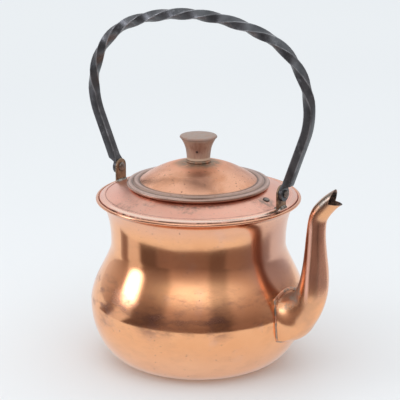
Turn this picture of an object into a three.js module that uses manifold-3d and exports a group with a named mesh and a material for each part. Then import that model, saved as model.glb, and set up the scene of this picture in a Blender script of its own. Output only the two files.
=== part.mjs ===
// A copper kettle with a gooseneck spout, a domed lid and a twisted iron bail.
// Millimetres, +Z up. The origin is the centre of the flat base, on the kettle's axis, and the
// spout points along +X. The bail stands in the plane of the spout and swings about the X axis.

import * as THREE from "three";
import { mergeVertices } from "three/addons/utils/BufferGeometryUtils.js";
import Module from "manifold-3d";

const wasm = await Module();
wasm.setup();

// Clearances between pieces that rest on, pass through or are soldered to each other
const restGap = 0.3;
const holeGap = 0.3;
// How far a cutter runs on past what it cuts
const cutReach = 12;

// Body, raised from one sheet
const bodySheet = 1.0;
const baseRadius = 52;
const bellyRadius = 85.9;
const bellyHeight = 48;
const shoulderHandle = 18;
const neckHandle = 12;
const neckRadius = 69.3;
const neckHeight = 96;
const rimRadius = 81;
const rimHeight = 132;
const flareDrop = 34;
const flareHeight = rimHeight - flareDrop;
const rimRollRadius = 1.3;
const rollStandOff = 0.5;
const strainerHoleRadius = 3;
const strainerPitch = 9;
const strainerRingHoles = 6;

// Top plate, a shallow cone with a doubled hem outside and a wired seat inside
const plateSheet = 0.8;
const plateSlope = THREE.MathUtils.degToRad(20);
const hemWidth = 4.8;
const hemStep = 0.5;
const mouthRadius = 51;
const seatRollRadius = 1.2;
const seatRise = 0.6;

// Lid
const lidSheet = 0.8;
const lidRadius = 56.3;
const lidRollRadius = 1.25;
const lidRollEnd = THREE.MathUtils.degToRad(176);
const lidRimSlope = THREE.MathUtils.degToRad(6);
const lidBeadRadius = 49.4;
const lidBeadWidth = 4.8;
const lidBeadRise = 0.9;
const domeRadius = 46.5;
const domeRise = 15.2;
const domePower = 2.3;
const skirtSheet = 0.8;
const skirtDepth = 11;
const skirtClearance = 0.8;
const skirtTaper = 0.8;

// Knob and what holds it
const collarRadius = 9.9;
const collarHeight = 1.2;
const collarSeatRadius = 6.2;
const knobNeckRadius = 9.3;
const knobWaistRadius = 10.5;
const knobTopRadius = 14.7;
const knobHeight = 19.8;
const knobTopHeight = 3;
const knobCrown = 0.9;
const knobEdgeRadius = 1.2;
const knobLipInset = 1.4;
const knobLipHeight = 1.6;
const knobNeckShare = 0.12;
const knobWaistShare = 0.5;
const screwRadius = 2;
const screwReach = 12;
const screwTipRadius = 0.8;
const screwTipLength = 1;
const screwHeadRadius = 4.2;
const screwHeadHeight = 2.4;
const knobWasherRadius = 8;
const knobWasherThickness = 1.2;

// Spout
const spoutSheet = 0.9;
const spoutRootHeight = 49.2;
const spoutRootHalf = 19.4;
const spoutRootSquareness = 3.4;
const spoutEdgeFlare = 1.4;
const spoutStemRadius = 10;
const spoutNeckRadius = 6.8;
const spoutTipRadius = 6.4;
const spoutReach = 106;
const spoutRootRise = 0.8;
const elbowLowOut = 8;
const elbowLowRise = 6;
const elbowLowHalf = 15.3;
const elbowMiddleOut = 14.3;
const elbowMiddleRise = 14;
const elbowMiddleHalf = 12.8;
const elbowHighOut = 18.5;
const elbowHighRise = 26;
const elbowHighHalf = 11.6;
const stemFootHeight = 89.4;
const stemTopHeight = 118;
const neckBendOut = 1.4;
const neckBendRise = 12.7;
const lipBendOut = 4.6;
const lipBendRise = 19.4;
const spoutTipX = 121.2;
const spoutTipHeight = 148.4;
const spoutTipLean = THREE.MathUtils.degToRad(30);
const notchBack = 2.6;
const notchDrop = 3;
const upperLipOut = 0.1;
const upperLipRise = 7.3;
const lowerLipOut = 5.4;
const lowerLipDrop = 3.5;

// Ears and pivots
const earOffset = 75;
const earThickness = 1.5;
const earWidth = 12.8;
// The pivots stand this far above the rim
const pivotRise = 14.2;
const pivotHeight = rimHeight + pivotRise;
const pivotShankRadius = 2.2;
const pivotHeadRadius = 3.5;
const pivotHeadHeight = 1.3;
const pivotPeenRadius = 3;
const pivotPeenHeight = 2.4;
const footRivetInset = 13;
const footTail = 4.6;
const footRivetRadius = 1.5;
const footRivetHeadRadius = 2.7;
const footRivetHeadHeight = 1;
const footRivetTailRadius = 2.4;
const footRivetTailHeight = 0.9;

// Bail, a square bar twisted over the arch and flattened at both ends
const barSize = 7;
const barChamfer = 0.7;
const bailHalfWidth = 99.33;
const bailTopHeight = 276.47;
// The centres of the shoulder arcs lie this far above the pivots
const bailShoulderRise = 65.1;
const bailShoulderHeight = pivotHeight + bailShoulderRise;
// The middle of the arch rises this far above the tops of its shoulder arcs
const bailCrownRise = 7.27;
const bailShoulderRadius = bailTopHeight - bailShoulderHeight - bailCrownRise;
const bailShift = -1;
const bailTurns = 3;
// The twist starts below the shoulder's height at the back, and above it by the spout
const twistDropAtBack = 6.8;
const twistRiseBySpout = 3.2;
const twistStartAtBack = bailShoulderHeight - twistDropAtBack;
const twistStartBySpout = bailShoulderHeight + twistRiseBySpout;
const twistStep = 4.6;
const legStep = 16;
const eyeRadius = 5.9;
const eyeThickness = 2.6;
const eyeNeckWidth = 10.1;
const eyeNeckRise = 4.6;
const eyeShoulderLength = 5;

// Facets round each kind of piece, and steps along each kind of curve
const bodyFacets = 48;
const lidFacets = 40;
const knobFacets = 24;
const spoutFacets = 18;
const smallFacets = 12;
const bellySteps = 6;
const shoulderSteps = 6;
const flareSteps = 5;
const rollSteps = 5;
const seatSteps = 6;
const domeSteps = 6;
const beadSteps = 3;
const knobSteps = 6;
const headSteps = 3;
const bailLineSteps = 400;
const heightSearchSteps = 30;

const finishes = {
  copper: new THREE.MeshStandardMaterial({ color: 0xc98252, roughness: 0.28, metalness: 1 }),
  lidCopper: new THREE.MeshStandardMaterial({ color: 0xc78d68, roughness: 0.32, metalness: 1 }),
  brass: new THREE.MeshStandardMaterial({ color: 0x7a5c3e, roughness: 0.5, metalness: 1 }),
  iron: new THREE.MeshStandardMaterial({ color: 0x3c3d40, roughness: 0.55, metalness: 0.8 }),
  steel: new THREE.MeshStandardMaterial({ color: 0x9a9a98, roughness: 0.4, metalness: 1 }),
  wood: new THREE.MeshStandardMaterial({ color: 0xa98a7c, roughness: 0.7, metalness: 0 }),
};

// Outlines are lists of Vector2 with the radius in x and the height in y.
const at = (radius, height) => new THREE.Vector2(radius, height);

function arc(centre, radii, from, to, steps) {
  return Array.from({ length: steps + 1 }, (_, i) => {
    const angle = from + ((to - from) * i) / steps;
    return at(centre.x + radii.x * Math.cos(angle), centre.y + radii.y * Math.sin(angle));
  });
}

// The outline moved sideways: to the left of its direction for a positive distance.
function offset(outline, distance) {
  return outline.map((point, i) => {
    const before = outline[Math.max(i - 1, 0)];
    const after = outline[Math.min(i + 1, outline.length - 1)];
    const along = after.clone().sub(before).normalize();
    return at(point.x - along.y * distance, point.y + along.x * distance);
  });
}

// A closed outline spun about the Z axis
function revolve(outline, facets) {
  const geometry = new THREE.LatheGeometry(outline, facets);
  geometry.rotateX(Math.PI / 2);
  return geometry;
}

const closed = (outline) => [...outline, outline[0].clone()];

// A stack of rings, each a list of Vector3 with as many points, closed by flat ends
function loft(rings) {
  const count = rings[0].length;
  const positions = rings.flat().flatMap((point) => [point.x, point.y, point.z]);
  const index = [];
  for (let r = 0; r + 1 < rings.length; r++) {
    for (let i = 0; i < count; i++) {
      const a = r * count + i;
      const b = r * count + ((i + 1) % count);
      index.push(a, b, a + count, b, b + count, a + count);
    }
  }
  const last = (rings.length - 1) * count;
  for (let i = 1; i + 1 < count; i++) {
    index.push(0, i + 1, i, last, last + i, last + i + 1);
  }
  const geometry = new THREE.BufferGeometry();
  geometry.setAttribute("position", new THREE.Float32BufferAttribute(positions, 3));
  geometry.setIndex(index);
  return geometry;
}

// A flat outline in the YZ plane, centred on x and as thick as given along X
function plateAcrossX(shape, thickness, x) {
  const geometry = new THREE.ExtrudeGeometry(shape, {
    depth: thickness,
    bevelEnabled: false,
    curveSegments: smallFacets,
  });
  geometry.translate(0, 0, -thickness / 2);
  geometry.applyMatrix4(
    new THREE.Matrix4().makeBasis(
      new THREE.Vector3(0, 1, 0),
      new THREE.Vector3(0, 0, 1),
      new THREE.Vector3(1, 0, 0),
    ),
  );
  return geometry.translate(x, 0, 0);
}

// A flat outline in the XZ plane, as wide as given along Y
function plateAcrossY(shape, width) {
  const geometry = new THREE.ExtrudeGeometry(shape, { depth: width, bevelEnabled: false });
  geometry.translate(0, 0, -width / 2);
  return geometry.rotateX(Math.PI / 2);
}

// Booleans work on solids, and the scene holds geometries.
function solid(geometry) {
  const bare = geometry.clone();
  bare.deleteAttribute("normal");
  bare.deleteAttribute("uv");
  const merged = mergeVertices(bare, 1e-4);
  return new wasm.Manifold(
    new wasm.Mesh({
      numProp: 3,
      vertProperties: merged.attributes.position.array,
      triVerts: new Uint32Array(merged.index.array),
    }),
  );
}

function geometryOf(manifold) {
  const mesh = manifold.getMesh();
  const geometry = new THREE.BufferGeometry();
  geometry.setAttribute("position", new THREE.BufferAttribute(mesh.vertProperties, 3));
  geometry.setIndex(new THREE.BufferAttribute(mesh.triVerts, 1));
  geometry.computeVertexNormals();
  return geometry;
}

function piece(name, geometry, finish) {
  const mesh = new THREE.Mesh(geometry, finish);
  mesh.name = name;
  return mesh;
}

// A round bar along X from one place to another
function barAlongX(radius, from, to, height, y = 0) {
  const geometry = new THREE.CylinderGeometry(radius, radius, to - from, smallFacets);
  geometry.rotateZ(Math.PI / 2);
  return geometry.translate((from + to) / 2, y, height);
}

// Body
// The sheet rises from the flat base through the belly, the shoulder and the neck, and flares
// out to a rolled rim.

function bodyOutline() {
  const shoulder = new THREE.CubicBezierCurve(
    at(bellyRadius, bellyHeight),
    at(bellyRadius, bellyHeight + shoulderHandle),
    at(neckRadius, neckHeight - neckHandle),
    at(neckRadius, neckHeight),
  );
  const flareReach = rimRadius - rimRollRadius - neckRadius;
  const flareRise = rimHeight - rimRollRadius - flareHeight;
  return [
    at(0, 0),
    ...arc(
      at(baseRadius, bellyHeight),
      at(bellyRadius - baseRadius, bellyHeight),
      -Math.PI / 2,
      0,
      bellySteps,
    ),
    ...shoulder.getPoints(shoulderSteps).slice(1),
    ...arc(
      at(neckRadius + flareReach, flareHeight),
      at(flareReach, flareRise),
      Math.PI,
      Math.PI / 2,
      flareSteps,
    ),
  ];
}

const rollDrop = rimRollRadius - bodySheet;
const rollInnerRadius =
  rimRadius - rimRollRadius - Math.sqrt(rimRollRadius ** 2 - rollDrop ** 2);

// Above the neck the inside of the wall ends just before the roll.
function bodyWall() {
  const outside = bodyOutline();
  const inside = offset(outside, bodySheet)
    .filter((point) => point.y < neckHeight || point.x < rollInnerRadius - rollStandOff)
    .map((point) => at(Math.max(point.x, 0), point.y));
  inside[0] = at(0, bodySheet);
  const roll = arc(
    at(rimRadius - rimRollRadius, rimHeight),
    at(rimRollRadius, rimRollRadius),
    -Math.PI / 2,
    Math.PI + Math.asin(rollDrop / rimRollRadius),
    rollSteps,
  ).slice(1);
  return revolve([...outside, ...roll, ...inside.reverse()], bodyFacets);
}

// The strainer is a ring of round holes about a middle one, in the wall behind the spout.
function strainerHoles() {
  const places = [at(0, 0)];
  for (let i = 0; i < strainerRingHoles; i++) {
    const angle = (2 * Math.PI * i) / strainerRingHoles;
    places.push(at(strainerPitch * Math.cos(angle), strainerPitch * Math.sin(angle)));
  }
  return places.map((place) =>
    solid(
      barAlongX(
        strainerHoleRadius,
        neckRadius,
        bellyRadius + spoutRootHalf,
        spoutRootHeight + place.y,
        place.x,
      ),
    ),
  );
}

function makeBody() {
  let body = solid(bodyWall());
  for (const hole of strainerHoles()) {
    body = body.subtract(hole);
  }
  return piece("body_pot", geometryOf(body), finishes.copper);
}

// Everything that lies within the body's outer surface and a little beyond it
function bodyEnvelope(gap) {
  const outside = offset(bodyOutline(), -gap).map((point) => at(Math.max(point.x, 0), point.y));
  return solid(revolve([...outside, at(0, rimHeight)], bodyFacets));
}

// Top plate
// Its upper surface falls outwards from the mouth to the hem, which lies inside the rolled rim.

const hemRadius = rollInnerRadius - restGap;
const hemBottom = rimHeight - rollDrop + restGap;
const hemDepth = 2 * plateSheet - hemStep;
const hemTop = hemBottom + hemDepth;
const plateTopAt = (radius) => hemTop + (hemRadius - radius) * Math.tan(plateSlope);
const plateDrop = plateSheet / Math.cos(plateSlope);
const seatRadius = mouthRadius + seatRollRadius;
const seatCentre = plateTopAt(seatRadius) + seatRise;
const seatTop = seatCentre + seatRollRadius;

function plateWall() {
  const hemInner = hemRadius - hemWidth;
  const hemRound = plateSheet / 2;
  const coneEdge = hemInner - hemRound;
  const hemEdge = hemRadius - hemRound;
  const seat = arc(
    at(seatRadius, seatCentre),
    at(seatRollRadius, seatRollRadius),
    -plateSlope - Math.asin((seatRise * Math.cos(plateSlope)) / seatRollRadius),
    1.5 * Math.PI - plateSlope,
    seatSteps,
  );
  return closed([
    at(coneEdge, plateTopAt(coneEdge) - plateDrop),
    at(hemInner, plateTopAt(hemInner) - hemDepth),
    at(hemEdge, hemBottom),
    at(hemRadius, hemBottom),
    at(hemRadius, plateTopAt(hemRadius)),
    at(hemEdge, plateTopAt(hemEdge) + hemStep),
    at(hemInner, plateTopAt(hemInner) + hemStep),
    at(coneEdge, plateTopAt(coneEdge)),
    ...seat,
  ]);
}

// Ears
// Each ear is a brass strap: it stands up through a slot in the top plate, and its foot is bent
// in under the plate and riveted there. The rivet stands square to the slope of the plate.

const footDrop = Math.max(plateDrop, hemDepth) + restGap;
const footTopAt = (x) => plateTopAt(x) - footDrop;
const footEnd = earOffset - footRivetInset - footTail;
const footRivetX = earOffset - footRivetInset;
const earFootThickness = earThickness / Math.cos(plateSlope);

function tiltedRivet(geometry) {
  geometry.rotateY(plateSlope);
  return geometry.translate(footRivetX, 0, plateTopAt(footRivetX));
}

function footRivetHole() {
  const radius = footRivetRadius + holeGap;
  const hole = new THREE.CylinderGeometry(radius, radius, cutReach, smallFacets);
  return solid(tiltedRivet(hole.rotateX(Math.PI / 2)));
}

// What is on the spout's side is made once more at the back, turned half round the axis.
const onEachSide = [
  { name: "by_spout", turn: 0 },
  { name: "at_back", turn: Math.PI },
];

function turned(manifold, turn) {
  return turn === 0 ? manifold : solid(geometryOf(manifold).rotateZ(turn));
}

function earSlot() {
  const slot = new THREE.BoxGeometry(earThickness + 2 * holeGap, earWidth + 2 * holeGap, cutReach);
  return solid(slot.translate(earOffset, 0, plateTopAt(earOffset)));
}

function makeTopPlate() {
  let plate = solid(revolve(plateWall(), bodyFacets));
  for (const side of onEachSide) {
    plate = plate.subtract(turned(earSlot(), side.turn));
    plate = plate.subtract(turned(footRivetHole(), side.turn));
  }
  return piece("top_plate", geometryOf(plate), finishes.copper);
}

function makeEar() {
  const outer = earOffset + earThickness / 2;
  const strap = new THREE.Shape();
  strap.moveTo(-earWidth / 2, footTopAt(outer) - earFootThickness / 2);
  strap.lineTo(earWidth / 2, footTopAt(outer) - earFootThickness / 2);
  strap.lineTo(earWidth / 2, pivotHeight);
  strap.absarc(0, pivotHeight, earWidth / 2, 0, Math.PI);
  const foot = new THREE.Shape();
  foot.moveTo(footEnd, footTopAt(footEnd));
  foot.lineTo(footEnd, footTopAt(footEnd) - earFootThickness);
  foot.lineTo(outer, footTopAt(outer) - earFootThickness);
  foot.lineTo(outer, footTopAt(outer));
  const hole = barAlongX(
    pivotShankRadius + holeGap,
    earOffset - cutReach,
    earOffset + cutReach,
    pivotHeight,
  );
  return solid(plateAcrossX(strap, earThickness, earOffset))
    .add(solid(plateAcrossY(foot, earWidth)))
    .subtract(solid(hole))
    .subtract(footRivetHole());
}

function makeFootRivet() {
  const under = -footDrop - earThickness - restGap;
  const outline = [
    at(0, under - footRivetTailHeight),
    at(footRivetTailRadius, under - footRivetTailHeight),
    at(footRivetTailRadius, under),
    at(footRivetRadius, under),
    at(footRivetRadius, restGap),
    at(footRivetHeadRadius, restGap),
    ...arc(
      at(0, restGap),
      at(footRivetHeadRadius, footRivetHeadHeight),
      0,
      Math.PI / 2,
      headSteps,
    ).slice(1),
  ];
  return tiltedRivet(revolve(outline, smallFacets));
}

// Pivot rivets
// A shank along X joins each ear and the flattened end of the bail outside it.

const earFace = earOffset + earThickness / 2;
const eyeInner = earFace + restGap;
const eyeCentreX = eyeInner + eyeThickness / 2;

function makePivotRivet() {
  const headSeat = earOffset - earThickness / 2 - restGap;
  const peenSeat = eyeInner + eyeThickness + restGap;
  const outline = [
    ...arc(
      at(0, headSeat),
      at(pivotHeadRadius, pivotHeadHeight),
      -Math.PI / 2,
      0,
      headSteps,
    ),
    at(pivotShankRadius, headSeat),
    at(pivotShankRadius, peenSeat),
    at(pivotPeenRadius, peenSeat),
    at(pivotPeenRadius, peenSeat + pivotPeenHeight / 3),
    ...arc(
      at(0, peenSeat + pivotPeenHeight / 3),
      at(pivotPeenRadius, (2 * pivotPeenHeight) / 3),
      0,
      Math.PI / 2,
      headSteps,
    ).slice(1),
  ];
  const geometry = revolve(outline, smallFacets).rotateY(Math.PI / 2);
  return geometry.translate(0, 0, pivotHeight);
}

// Lid
// One sheet: a rolled edge, a nearly flat rim that rests on the wired seat, a raised ring
// pressed up out of the rim, and a dome.

const lidUnderAtSeat = seatTop + restGap;
const lidTopAt = (radius) =>
  lidUnderAtSeat + lidSheet + (seatRadius - radius) * Math.tan(lidRimSlope);
const domeBase = lidTopAt(domeRadius);
const domeTopAt = (radius) => domeBase + domeRise * (1 - (radius / domeRadius) ** domePower);
const crownTop = domeTopAt(0);

// The ring's upper side is an arc that stands on the slope of the rim.
const beadCurve = ((lidBeadWidth / 2) ** 2 + lidBeadRise ** 2) / (2 * lidBeadRise);
const beadLean = Math.PI / 2 - lidRimSlope;
const beadCentre = at(lidBeadRadius, lidTopAt(lidBeadRadius)).addScaledVector(
  at(Math.cos(beadLean), Math.sin(beadLean)),
  lidBeadRise - beadCurve,
);

function lidBead() {
  const half = Math.asin(lidBeadWidth / 2 / beadCurve);
  const radii = at(beadCurve, beadCurve);
  return arc(beadCentre, radii, beadLean + half, beadLean - half, beadSteps);
}

function makeLid() {
  const hole = screwRadius + holeGap;
  const dome = Array.from({ length: domeSteps + 1 }, (_, i) => {
    const share = Math.sin(((i / domeSteps) * Math.PI) / 2);
    const radius = hole + (domeRadius - hole) * share;
    return at(radius, domeTopAt(radius));
  });
  const upper = [...dome, ...lidBead()];
  const rollCentre = at(lidRadius - lidRollRadius, 0);
  rollCentre.y = lidTopAt(rollCentre.x) - lidRollRadius;
  const roll = arc(
    rollCentre,
    at(lidRollRadius, lidRollRadius),
    Math.PI / 2,
    -lidRollEnd,
    rollSteps,
  );
  const rollStart = rollCentre.x - lidRollRadius;
  const lower = offset([...upper, at(rollStart, lidTopAt(rollStart))], -lidSheet);
  lower[0] = at(hole, lower[0].y);
  return piece(
    "lid_cover",
    revolve(closed([...upper, ...roll, ...lower.reverse()].reverse()), lidFacets),
    finishes.lidCopper,
  );
}

// The skirt's upper edge meets the hollow under the ring.
function makeSkirt() {
  const outer = mouthRadius - skirtClearance;
  const hollow = Math.sqrt((beadCurve - lidSheet) ** 2 - (outer - beadCentre.x) ** 2);
  const top = beadCentre.y + hollow - restGap;
  const outline = [
    at(outer - skirtTaper - skirtSheet, top - skirtDepth),
    at(outer - skirtTaper, top - skirtDepth),
    at(outer, top),
    at(outer - skirtSheet, top),
  ];
  return piece("lid_skirt", revolve(closed(outline), lidFacets), finishes.lidCopper);
}

// Knob
// A turned wooden knob on a copper collar, held by a screw from inside the dome.

const collarSeat = crownTop + restGap;
const collarTop = collarSeat + collarHeight;
const knobBottom = collarTop + restGap;
const domeUnder = crownTop - lidSheet;

function makeCollar() {
  const hole = screwRadius + holeGap;
  const edgeDrop = crownTop - domeTopAt(collarRadius);
  const bead = collarHeight / 2;
  const outline = [
    at(hole, collarSeat),
    at(collarSeatRadius, collarSeat),
    at(collarRadius - bead, collarSeat - edgeDrop),
    ...arc(
      at(collarRadius - bead, collarSeat - edgeDrop + bead),
      at(bead, bead),
      -Math.PI / 2,
      Math.PI / 2,
      headSteps,
    ).slice(1),
    at(collarRadius - bead, collarTop),
    at(hole, collarTop),
  ];
  return piece("knob_collar", revolve(closed(outline), knobFacets), finishes.lidCopper);
}

function makeKnob() {
  const bore = screwRadius + holeGap;
  const top = knobBottom + knobHeight;
  const brim = top - knobTopHeight;
  const stem = new THREE.SplineCurve([
    at(knobNeckRadius, knobBottom),
    at(knobNeckRadius, knobBottom + knobHeight * knobNeckShare),
    at(knobWaistRadius, knobBottom + knobHeight * knobWaistShare),
    at(knobTopRadius - knobLipInset, brim - knobLipHeight / 2),
    at(knobTopRadius, brim + knobLipHeight / 2),
  ]);
  const boreTop = knobBottom + screwReach + screwTipLength;
  const outline = [
    at(0, boreTop),
    at(bore, boreTop),
    at(bore, knobBottom),
    ...stem.getPoints(knobSteps),
    ...arc(
      at(knobTopRadius - knobEdgeRadius, top - knobEdgeRadius - knobCrown),
      at(knobEdgeRadius, knobEdgeRadius),
      0,
      Math.PI / 2,
      headSteps,
    ),
    at(knobTopRadius / 2, top - knobCrown / 4),
    at(0, top),
  ];
  return piece("knob", revolve(outline, knobFacets), finishes.wood);
}

// The washer's edge meets the underside of the dome, a little below the middle of the dome.
const washerTop = domeUnder - restGap - (crownTop - domeTopAt(knobWasherRadius));
const washerBottom = washerTop - knobWasherThickness;

function makeKnobWasher() {
  const hole = screwRadius + holeGap;
  const outline = [
    at(hole, washerBottom),
    at(knobWasherRadius, washerBottom),
    at(knobWasherRadius, washerTop),
    at(hole, washerTop),
  ];
  return piece("knob_washer", revolve(closed(outline), knobFacets), finishes.steel);
}

function makeKnobScrew() {
  const seat = washerBottom - restGap;
  const tip = knobBottom + screwReach;
  const outline = [
    ...arc(at(0, seat), at(screwHeadRadius, screwHeadHeight), -Math.PI / 2, 0, headSteps),
    at(screwRadius, seat),
    at(screwRadius, tip - screwTipLength),
    at(screwTipRadius, tip),
    at(0, tip),
  ];
  return piece("knob_screw", revolve(outline, smallFacets), finishes.steel);
}

// Spout
// The tube leaves the belly as a wide squarish root, turns up into a round stem that narrows to
// the neck, and leans out at the top. Each station is a place on the centre line with the
// tube's half sizes there.

function spoutStations() {
  const station = (x, z, half) => {
    const share = (half - spoutStemRadius) / (spoutRootHalf - spoutStemRadius);
    const squareness = THREE.MathUtils.lerp(2, spoutRootSquareness, Math.max(share, 0));
    return { x, z, half, squareness };
  };
  const beyondTip = at(Math.cos(spoutTipLean), Math.sin(spoutTipLean)).multiplyScalar(cutReach);
  return [
    station(neckRadius, spoutRootHeight, spoutRootHalf),
    station(bellyRadius, spoutRootHeight + spoutRootRise, spoutRootHalf),
    station(bellyRadius + elbowLowOut, spoutRootHeight + elbowLowRise, elbowLowHalf),
    station(bellyRadius + elbowMiddleOut, spoutRootHeight + elbowMiddleRise, elbowMiddleHalf),
    station(bellyRadius + elbowHighOut, spoutRootHeight + elbowHighRise, elbowHighHalf),
    station(spoutReach, stemFootHeight, spoutStemRadius),
    station(
      spoutReach,
      (stemFootHeight + stemTopHeight) / 2,
      (spoutStemRadius + spoutNeckRadius) / 2,
    ),
    station(spoutReach, stemTopHeight, spoutNeckRadius + spoutSheet / 2),
    station(spoutReach + neckBendOut, stemTopHeight + neckBendRise, spoutNeckRadius),
    station(spoutReach + lipBendOut, stemTopHeight + lipBendRise, spoutNeckRadius),
    station(spoutTipX, spoutTipHeight, spoutTipRadius),
    station(spoutTipX + beyondTip.x, spoutTipHeight + beyondTip.y, spoutTipRadius),
  ];
}

// A point of a section with a half size of 1: round at a squareness of 2, squarer above it
function roundness(angle, squareness) {
  const power = 2 / squareness;
  const cos = Math.cos(angle);
  const sin = Math.sin(angle);
  return at(
    Math.sign(cos) * Math.abs(cos) ** power,
    Math.sign(sin) * Math.abs(sin) ** power,
  );
}

function spoutTube(inset) {
  const stations = spoutStations();
  const line = new THREE.CatmullRomCurve3(stations.map((s) => new THREE.Vector3(s.x, 0, s.z)));
  const sizes = new THREE.CatmullRomCurve3(
    stations.map((s) => new THREE.Vector3(s.half, s.squareness, 0)),
  );
  const steps = 2 * (stations.length - 1);
  const rings = [];
  for (let i = 0; i <= steps; i++) {
    const centre = line.getPoint(i / steps);
    const along = line.getTangent(i / steps);
    const size = sizes.getPoint(i / steps);
    const up = new THREE.Vector3(-along.z, 0, along.x);
    const ring = [];
    for (let k = 0; k < spoutFacets; k++) {
      const place = roundness((2 * Math.PI * k) / spoutFacets, size.y).multiplyScalar(size.x - inset);
      ring.push(
        centre.clone().addScaledVector(up, place.x).add(new THREE.Vector3(0, -place.y, 0)),
      );
    }
    rings.push(ring);
  }
  return solid(loft(rings));
}

// The mouth is an open beak: a wedge is cut out between its two lips.
function mouthCut() {
  const fromTip = (out, rise) => new THREE.Vector2(spoutTipX + out, spoutTipHeight + rise);
  const notch = fromTip(-notchBack, -notchDrop);
  const beyond = (lip) => lip.sub(notch).setLength(3 * cutReach).add(notch);
  const upper = beyond(fromTip(upperLipOut, upperLipRise));
  const lower = beyond(fromTip(lowerLipOut, -lowerLipDrop));
  const shape = new THREE.Shape();
  shape.moveTo(notch.x, notch.y);
  shape.lineTo(lower.x, lower.y);
  shape.lineTo(upper.x + lower.x - notch.x, upper.y);
  shape.lineTo(upper.x, upper.y);
  return solid(plateAcrossY(shape, 2 * cutReach));
}

function makeSpout() {
  // The edge of the root is turned out into a narrow flange that follows the belly.
  const flange = spoutTube(-spoutEdgeFlare).intersect(bodyEnvelope(restGap + spoutSheet));
  const spout = spoutTube(0)
    .add(flange)
    .subtract(spoutTube(spoutSheet))
    .subtract(bodyEnvelope(restGap))
    .subtract(mouthCut());
  return piece("spout", geometryOf(spout), finishes.copper);
}

// Bail
// The centre line runs in the XZ plane from the back eye over the arch to the eye by the spout.
// Its legs are straight, its shoulders and crown are arcs that touch each other.

const shoulderCentre = at(bailHalfWidth - bailShoulderRadius, bailShoulderHeight);
const crownRadius =
  (shoulderCentre.x ** 2 +
    (bailTopHeight - bailShoulderHeight) ** 2 -
    bailShoulderRadius ** 2) /
  (2 * (bailTopHeight - bailShoulderHeight - bailShoulderRadius));
const legFoot = at(eyeInner, pivotHeight + eyeNeckRise);

// One side of the bail: where its leg starts and where it touches its shoulder arc. The leg
// leans out by the angle at which its line touches that arc.
function bailSide(side) {
  const centre = at(side * bailShift + shoulderCentre.x, shoulderCentre.y);
  const toFoot = legFoot.clone().sub(centre);
  const lean =
    Math.atan2(-toFoot.y, toFoot.x) -
    Math.acos((bailShoulderRadius - barSize / 2) / toFoot.length());
  const outward = at(Math.cos(lean), -Math.sin(lean));
  return {
    centre,
    lean,
    start: legFoot.clone().addScaledVector(outward, barSize / 2),
    touch: centre.clone().addScaledVector(outward, bailShoulderRadius),
  };
}

function bailPath() {
  const back = bailSide(-1);
  const spoutSide = bailSide(1);
  const crownCentre = at(bailShift, bailTopHeight - crownRadius);
  const turn = Math.atan2(shoulderCentre.y - crownCentre.y, shoulderCentre.x);
  const path = new THREE.Path();
  path.moveTo(-back.start.x, back.start.y);
  path.lineTo(-back.touch.x, back.touch.y);
  path.absarc(
    -back.centre.x,
    back.centre.y,
    bailShoulderRadius,
    Math.PI + back.lean,
    Math.PI - turn,
    true,
  );
  path.absarc(crownCentre.x, crownCentre.y, crownRadius, Math.PI - turn, turn, true);
  path.absarc(
    spoutSide.centre.x,
    spoutSide.centre.y,
    bailShoulderRadius,
    turn,
    -spoutSide.lean,
    true,
  );
  path.lineTo(spoutSide.start.x, spoutSide.start.y);
  for (const curve of path.curves) {
    curve.arcLengthDivisions = bailLineSteps;
  }
  return path;
}

// One section of the bar: a rectangle with small chamfers, turned by twist about its line.
// Depth lies in the plane of the bail and width along Y.
function barSection(centre, along, depth, width, twist) {
  const out = new THREE.Vector3(-along.y, 0, along.x);
  const near = new THREE.Vector3(0, -1, 0);
  const across = near.clone().multiplyScalar(Math.cos(twist)).addScaledVector(out, Math.sin(twist));
  const through = near
    .clone()
    .multiplyScalar(-Math.sin(twist))
    .addScaledVector(out, Math.cos(twist));
  const w = width / 2;
  const d = depth / 2;
  const c = barChamfer;
  const corners = [
    [w - c, -d],
    [c - w, -d],
    [-w, c - d],
    [-w, d - c],
    [c - w, d],
    [w - c, d],
    [w, d - c],
    [w, c - d],
  ];
  return corners.map(([p, q]) =>
    new THREE.Vector3(centre.x, 0, centre.y).addScaledVector(across, p).addScaledVector(through, q),
  );
}

function bailRings() {
  const path = bailPath();
  const length = path.getLength();
  const heightAt = (s) => path.getPointAt(s / length).y;
  const placeAtHeight = (height, from, to) => {
    let low = from;
    let high = to;
    for (let i = 0; i < heightSearchSteps; i++) {
      const middle = (low + high) / 2;
      if (heightAt(middle) < height) {
        low = middle;
      } else {
        high = middle;
      }
    }
    return low;
  };
  const twistFrom = placeAtHeight(twistStartAtBack, 0, length / 2);
  const twistTo = placeAtHeight(twistStartBySpout, length, length / 2);
  const places = [];
  const fill = (from, to, step) => {
    const count = Math.max(1, Math.round((to - from) / step));
    for (let i = 0; i < count; i++) {
      places.push(from + ((to - from) * i) / count);
    }
  };
  fill(eyeShoulderLength, twistFrom, legStep);
  fill(twistFrom, twistTo, twistStep);
  fill(twistTo, length - eyeShoulderLength, legStep);
  places.push(length - eyeShoulderLength);
  const bar = places.map((s) => {
    const share = THREE.MathUtils.clamp((s - twistFrom) / (twistTo - twistFrom), 0, 1);
    return barSection(
      path.getPointAt(s / length),
      path.getTangentAt(s / length),
      barSize,
      barSize,
      2 * Math.PI * bailTurns * share,
    );
  });
  const eye = (side, height) =>
    barSection(at(side * eyeCentreX, height), at(0, -side), eyeThickness, eyeNeckWidth, 0);
  return [
    eye(-1, pivotHeight),
    eye(-1, legFoot.y),
    ...bar,
    eye(1, legFoot.y),
    eye(1, pivotHeight),
  ];
}

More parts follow.
